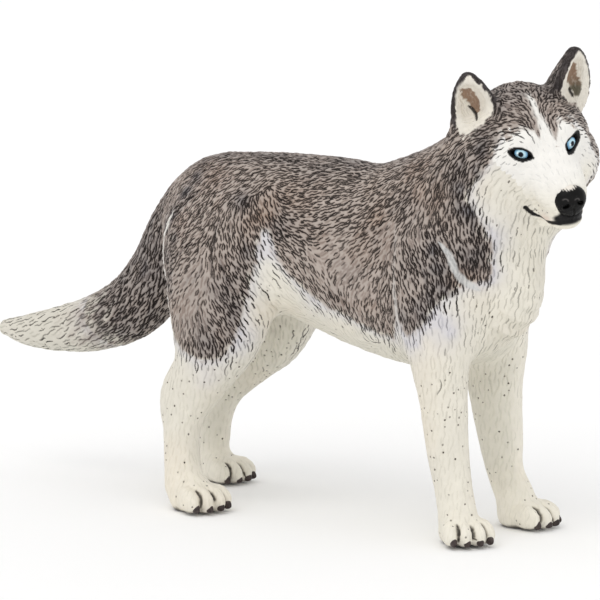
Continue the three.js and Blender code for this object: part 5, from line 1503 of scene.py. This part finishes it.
# ---------------------------------------------------------------- the coat, in pieces
def rim_edges(Q):
    """Directed outer edges of a set of quads."""
    e = np.concatenate([Q[:, [0, 1]], Q[:, [1, 2]], Q[:, [2, 3]], Q[:, [3, 0]]])
    n = int(Q.max()) + 1
    loop = np.concatenate([np.arange(len(Q)) * 4 + i for i in range(4)])
    key = np.sort(e, 1)
    key = key[:, 0] * n + key[:, 1]
    _, inv, cnt = np.unique(key, return_inverse=True, return_counts=True)
    lone = cnt[inv] == 1
    return e[lone], loop[lone]


def coat_piece(number, name):
    pick = np.nonzero(BASE_PIECE == number)[0]
    used, q = np.unique(BASE_Q[pick], return_inverse=True)
    uv = unwrap(BASE_V[used], q.reshape(-1, 4))
    fine_uv = np.einsum("abi,mic->mabc", WEIGHTS, uv)
    fine_uv = np.stack([fine_uv[:, :-1, :-1], fine_uv[:, 1:, :-1], fine_uv[:, 1:, 1:], fine_uv[:, :-1, 1:]], 3).reshape(-1, 2)
    G = GRIDS[pick]
    Q = np.stack([G[:, :-1, :-1], G[:, 1:, :-1], G[:, 1:, 1:], G[:, :-1, 1:]], -1).reshape(-1, 4)
    used, q = np.unique(Q, return_inverse=True)
    q = q.reshape(-1, 4)
    V, N, C, S = COAT_V[used], COAT_N[used], PAINT[used], STROKES[used]
    e, loop = rim_edges(q)
    rim = np.unique(e)
    under = np.full(len(V), -1)
    under[rim] = len(V) + np.arange(len(rim))
    V = np.concatenate([V, FINE_V[used][rim] - FINE_N[used][rim] * SKIRT])
    N = np.concatenate([N, N[rim]])
    C, S = np.concatenate([C, C[rim]]), np.concatenate([S, S[rim]])
    skirt = np.stack([e[:, 1], e[:, 0], under[e[:, 0]], under[e[:, 1]]], 1)
    flat_uv = fine_uv
    start = flat_uv[loop]
    nxt = np.where(loop % 4 == 3, loop - 3, loop + 1)
    end = flat_uv[nxt]
    skirt_uv = np.stack([end, start, start, end], 1).reshape(-1, 2)
    Q = np.concatenate([q, skirt])
    ob = add_mesh("coat_" + name, V, Q, COAT_MAT, N, C, np.concatenate([flat_uv, skirt_uv]), S)
    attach(ob, "root")
    print("coat_" + name, len(Q) * 2)
    return ob


COATS = [coat_piece(i, p) for i, p in enumerate(PIECES)]

# ---------------------------------------------------------------- the skin
ear_base = np.zeros(len(BASE_V))
for s in (-1, 1):
    e = EAR_Z[s]
    ear_base = np.maximum(ear_base, ((e[:, 2] > -0.5) & (BASE_H[:, 1] * s > 1.5) & (BASE_H[:, 2] > 3.5)).astype(float))
depth = SKIN_DEPTH * (1 - ear_base) + EAR_SKIN_DEPTH * ear_base
depth = depth + 0.9 * SOCKET[: len(BASE_V)] + 0.18 * (CREASE[: len(BASE_V)] > 0.3) + 0.3 * (TOE[: len(BASE_V)] > 0.2)
for s in (-1, 1):
    e = eye_local(BASE_V, s)
    depth = np.maximum(depth, np.where((e[:, 0] > -0.5) & (np.hypot(e[:, 1], e[:, 2]) < 2.6), 1.15 - 0.3 * np.hypot(e[:, 1], e[:, 2]), 0))
SKIN_V = BASE_V - BASE_N * depth[:, None]
SKIN_V[:, 2] = np.maximum(SKIN_V[:, 2], 0.02)
PALE = (linear(CREAM) * 0.9)[None]
skin_colour = mix(np.repeat(PALE, len(BASE_V), 0), np.repeat(linear(TAUPE)[None] * 0.8, len(BASE_V), 0), smooth(-0.3, 0.3, BASE_G))
skin_colour = mix(skin_colour, np.repeat(linear(CHARCOAL)[None], len(BASE_V), 0), 0.6 * BASE_DARK)
skin_uv = None
SKIN = add_mesh("skin", SKIN_V, BASE_Q, SKIN_MAT, None, skin_colour, unwrap(BASE_V, BASE_Q).reshape(-1, 2))
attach(SKIN, "root")
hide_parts("trunk", "neck", "head", "ear_right", "ear_left", "tail", "foreleg_right", "foreleg_left", "hindleg_right", "hindleg_left",
            "paw_front_right", "paw_front_left", "paw_hind_right", "paw_hind_left")


# ---------------------------------------------------------------- eyes, nose and claws
def orb(nu, nv):
    """Unit ball with its poles on the x axis: points and quads (the caps are fans of thin quads)."""
    th = np.linspace(0, math.pi, nv + 1)[1:-1]
    ph = np.arange(nu) / nu * 2 * math.pi
    T, Pm = np.meshgrid(th, ph, indexing="ij")
    V = np.stack([np.cos(T), np.sin(T) * np.cos(Pm), np.sin(T) * np.sin(Pm)], -1).reshape(-1, 3)
    V = np.concatenate([V, [[1, 0, 0], [-1, 0, 0]]])
    faces = []
    for i in range(nv - 2):
        for j in range(nu):
            k = (j + 1) % nu
            faces.append((i * nu + j, (i + 1) * nu + j, (i + 1) * nu + k, i * nu + k))
    tri = []
    for j in range(nu):
        k = (j + 1) % nu
        tri.append((len(V) - 2, j, k))
        tri.append((len(V) - 1, (nv - 2) * nu + k, (nv - 2) * nu + j))
    return V, faces, tri


def add_orb(name, V, faces, tri, mat, colour=None):
    me = bpy.data.meshes.new(name)
    me.from_pydata(((V + SHIFT) * MM).tolist(), [], [list(f) for f in faces] + [list(t) for t in tri])
    me.polygons.foreach_set("use_smooth", np.ones(len(me.polygons), bool))
    if colour is not None:
        a = me.color_attributes.new("paint", "FLOAT_COLOR", "POINT")
        a.data.foreach_set("color", np.concatenate([colour, np.ones((len(colour), 1))], 1).astype(F).ravel())
    me.materials.append(mat)
    ob = bpy.data.objects.new(name, me)
    bpy.context.scene.collection.objects.link(ob)
    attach(ob, "root")
    return ob


def gloss_material(name, rough, coat, speckle=0.0):
    mat = painted_material(name, rough=rough, grain=0.05)
    b = next(n for n in mat.node_tree.nodes if n.type == "BSDF_PRINCIPLED")
    b.inputs["Coat Weight"].default_value = coat
    b.inputs["Coat Roughness"].default_value = 0.08
    b.inputs["Specular IOR Level"].default_value = 0.12
    return mat


EYE_MAT = gloss_material("painted_eye", 0.3, 0.04)
NOSE_MAT = gloss_material("painted_nose", 0.36, 0.06)
CLAW_MAT = gloss_material("painted_claw", 0.38, 0.15)

ball, quads, tris = orb(96, 64)
for s, side in ((-1, "right"), (1, "left")):
    local = ball * np.array(EYE_SIZE)
    V = local @ EYE_R[s].T + EYE_C[s]
    u, v = local[:, 1], local[:, 2]
    r = np.hypot(u, v * 1.02) + 0.0
    a = np.arctan2(v, u)
    col = np.repeat(linear((12, 14, 18))[None], len(V), 0)
    iris_outer, iris_inner, pale = linear((112, 162, 198)), linear((176, 217, 234)), linear((210, 237, 247))
    streak = 0.5 + 0.5 * np.sin(a * 23) * 0.4 + 0.12 * np.sin(a * 51 + 1)
    iris = mix(np.repeat(iris_inner[None], len(V), 0), np.repeat(pale[None], len(V), 0), streak * smooth(0.75, 0.4, r))
    iris = mix(iris, np.repeat(iris_outer[None], len(V), 0), smooth(0.58, 0.82, r))
    col = mix(col, iris, smooth(0.90, 0.84, r) * (local[:, 0] > 0))
    col = mix(col, np.repeat(linear((10, 14, 26))[None], len(V), 0), smooth(0.40, 0.33, r))
    # a painted point of light beside the pupil
    glint = smooth(0.15, 0.09, np.hypot(u + 0.44, (v - 0.12) * 1.2)) * (local[:, 0] > 0)
    col = mix(col, np.repeat(linear((244, 250, 252))[None], len(V), 0), glint)
    ob = add_orb("eyeball_" + side, V, quads, tris, EYE_MAT, col)
    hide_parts("eye_" + side)

ball, quads, tris = orb(120, 90)
NOSE_R = HEAD_R @ turn(0, NOSE_PITCH, 0)
p = ball.copy()
x, y, z = p.T
# a blunt pad: flatter in front, squarer across the top, narrower below
sq = 1 + 0.10 * (np.abs(y) * np.clip(z, 0, 1))
p = np.stack([x * (1 - 0.10 * smooth(0.6, 1, x)), y * sq * (1 - 0.16 * np.clip(-z, 0, 1)), z], 1)
V = p * np.array(NOSE_SIZE)
front = np.clip(x, 0, 1)
for s in (-1, 1):
    c = np.array([0.80, s * 0.46, -0.10])
    d = np.hypot((y - s * 0.44) / 0.24, (z - 0.06 + 0.30 * (np.abs(y) - 0.44)) / 0.17)
    hole = smooth(1.15, 0.2, d) * front
    V -= (0.55 * hole)[:, None] * np.array([1.0, 0.0, 0.15])
    slit = smooth(1.0, 0.0, np.hypot((y - s * 0.72) / 0.22, (z + 0.30) / 0.08)) * front
    V -= (0.22 * slit)[:, None] * np.array([1.0, 0, 0])
    wing = smooth(1.3, 0.9, d) * smooth(0.7, 1.0, d) * front
    V += (0.10 * wing)[:, None] * np.array([1.0, 0, 0.2])
mid = np.exp(-((y / 0.07) ** 2)) * smooth(0.15, -0.35, z) * front
V -= (0.22 * mid)[:, None] * np.array([1.0, 0, 0])
pits = noise(V, 0.22, 41)
V += (0.022 * pits * front)[:, None] * ball
world = V @ NOSE_R.T + from_head(NOSE_AT)
col = np.repeat(linear((14, 13, 13))[None], len(V), 0) * (1 + 0.25 * noise(V, 0.5, 42))[:, None]
# the nostrils are painted darker than the pad: painted shade in the holes
for s in (-1, 1):
    d = np.hypot((y - s * 0.44) / 0.24, (z - 0.06 + 0.30 * (np.abs(y) - 0.44)) / 0.17)
    col = mix(col, np.repeat(linear((4, 4, 4))[None], len(V), 0), smooth(1.0, 0.5, d) * (x > 0))
# painted highlights as pale arcs over each nostril, and white tips of fur over the top of the pad
for cy, cz in ((-0.46, 0.42), (0.22, 0.30)):
    k = np.hypot(y - cy, (z - cz) * 1.2)
    nostril_highlight = np.exp(-((k - 0.15) / 0.04) ** 2) * smooth(-0.04, 0.08, z - cz + 0.35 * (y - cy)) * (x > 0)
    col = mix(col, np.repeat(linear((112, 108, 106))[None], len(V), 0), 0.5 * nostril_highlight)
tips = smooth(0.90, 0.96, z + 0.05 * np.sin(y * 57) * np.cos(y * 19 + 1)) * smooth(0.55, 0.35, np.abs(y))
col = mix(col, np.repeat(linear((232, 226, 216))[None], len(V), 0), tips)
NOSE = add_orb("nose_pad", world, quads, tris, NOSE_MAT, np.clip(col, 0, 1))
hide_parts("nose")

ball, quads, tris = orb(40, 28)
for paw_name, (px, py, yaw, size) in PAWS.items():
    R = turn(0, 0, yaw)
    for i, (ty, tx) in enumerate(TOES):
        RC = R @ turn(0, CLAW_DROOP, ty * 4)
        at = np.array([px, py, 0]) + R @ (np.array([(tx + CLAW_FORWARD), ty * 1.06, CLAW_UP]) * size)
        at[2] = CLAW_UP * size if size != 1 else CLAW_UP
        p = ball * np.array(CLAW_SIZE) * size
        k = smooth(-0.2, 1.0, ball[:, 0])
        p[:, 1] *= 1 - 0.25 * k
        p[:, 2] *= 1 - 0.20 * k
        V = p @ RC.T + at
        tone = 1 + 0.3 * noise(V, 0.4, 50 + i) - 0.25 * k
        col = np.clip(linear((76, 66, 64))[None] * tone[:, None], 0, 1)
        ob = add_orb("nail_%s_%d" % (paw_name, i + 1), V, quads, tris, CLAW_MAT, col)
        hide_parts("claw_%s_%d" % (paw_name, i + 1))

# ---------------------------------------------------------------- floor, light and camera
def stage_material():
    mat = bpy.data.materials.new("pale_floor")
    nt, b = tree_of(mat)
    tc = nt.nodes.new("ShaderNodeTexCoord")
    n = nt.nodes.new("ShaderNodeTexNoise")
    n.inputs["Scale"].default_value = 3
    nt.links.new(tc.outputs["Object"], n.inputs["Vector"])
    m = nt.nodes.new("ShaderNodeMapRange")
    m.inputs["To Min"].default_value = 0.975
    m.inputs["To Max"].default_value = 0.985
    nt.links.new(n.outputs["Fac"], m.inputs["Value"])
    c = nt.nodes.new("ShaderNodeCombineColor")
    for i in range(3):
        nt.links.new(m.outputs[0], c.inputs[i])
    nt.links.new(c.outputs[0], b.inputs["Base Color"])
    b.inputs["Roughness"].default_value = 0.9
    b.inputs["Specular IOR Level"].default_value = 0.1
    return mat


me = bpy.data.meshes.new("floor")
span = [-6.0 + 0.75 * i for i in range(17)]
verts = [(x, y, 0.0) for y in span for x in span]
k = len(span)
me.from_pydata(verts, [], [(j * k + i, j * k + i + 1, (j + 1) * k + i + 1, (j + 1) * k + i) for j in range(k - 1) for i in range(k - 1)])
me.polygons.foreach_set("use_smooth", np.ones(len(me.polygons), bool))
me.materials.append(stage_material())
floor = bpy.data.objects.new("floor", me)
bpy.context.scene.collection.objects.link(floor)
floor.rotation_euler = (0, 0, math.radians(38.1))

world = bpy.data.worlds.new("studio")
bpy.context.scene.world = world
world.use_nodes = True
world.node_tree.nodes["Background"].inputs[0].default_value = (1, 1, 1, 1)
world.node_tree.nodes["Background"].inputs[1].default_value = 0.82

VIEW_AZ, VIEW_EL, DISTANCE, FOV = 38.1, 7.8, 450.0, 9.98
TARGET = np.array([21.55, -22.33, 33.5])


def direction(az, el):
    a, e = math.radians(az), math.radians(el)
    return np.array([math.sin(a) * math.cos(e), -math.cos(a) * math.cos(e), math.sin(e)])


def broad_light(name, az, el, spread_angle, strength, colour=(1, 1, 1)):
    """A very wide, even light from far off, like a studio's overhead diffuser."""
    d = bpy.data.lights.new(name, "SUN")
    d.angle = math.radians(spread_angle)
    d.energy = strength
    d.color = colour
    o = bpy.data.objects.new(name, d)
    o.location = Vector(direction(az, el) * 2.0)
    o.rotation_mode = "QUATERNION"
    o.rotation_quaternion = Vector(direction(az, el)).to_track_quat("Z", "Y")
    bpy.context.scene.collection.objects.link(o)
    return o


broad_light("key", 5, 52, 50, 0.55, (1.0, 0.99, 0.97))
broad_light("top", 60, 80, 70, 0.30)

cam_data = bpy.data.cameras.new("camera")
cam_data.sensor_width = 36
cam_data.lens = 18 / math.tan(math.radians(FOV / 2))
cam_data.clip_start, cam_data.clip_end = 0.01, 20
cam = bpy.data.objects.new("camera", cam_data)
bpy.context.scene.collection.objects.link(cam)
cam.location = Vector((TARGET + direction(VIEW_AZ, VIEW_EL) * DISTANCE) * MM)
cam.rotation_mode = "QUATERNION"
cam.rotation_quaternion = Vector(direction(VIEW_AZ, VIEW_EL)).to_track_quat("Z", "Y")
bpy.context.scene.camera = cam
bpy.context.scene.view_settings.view_transform = "Standard"
bpy.context.scene.view_settings.look = "None"
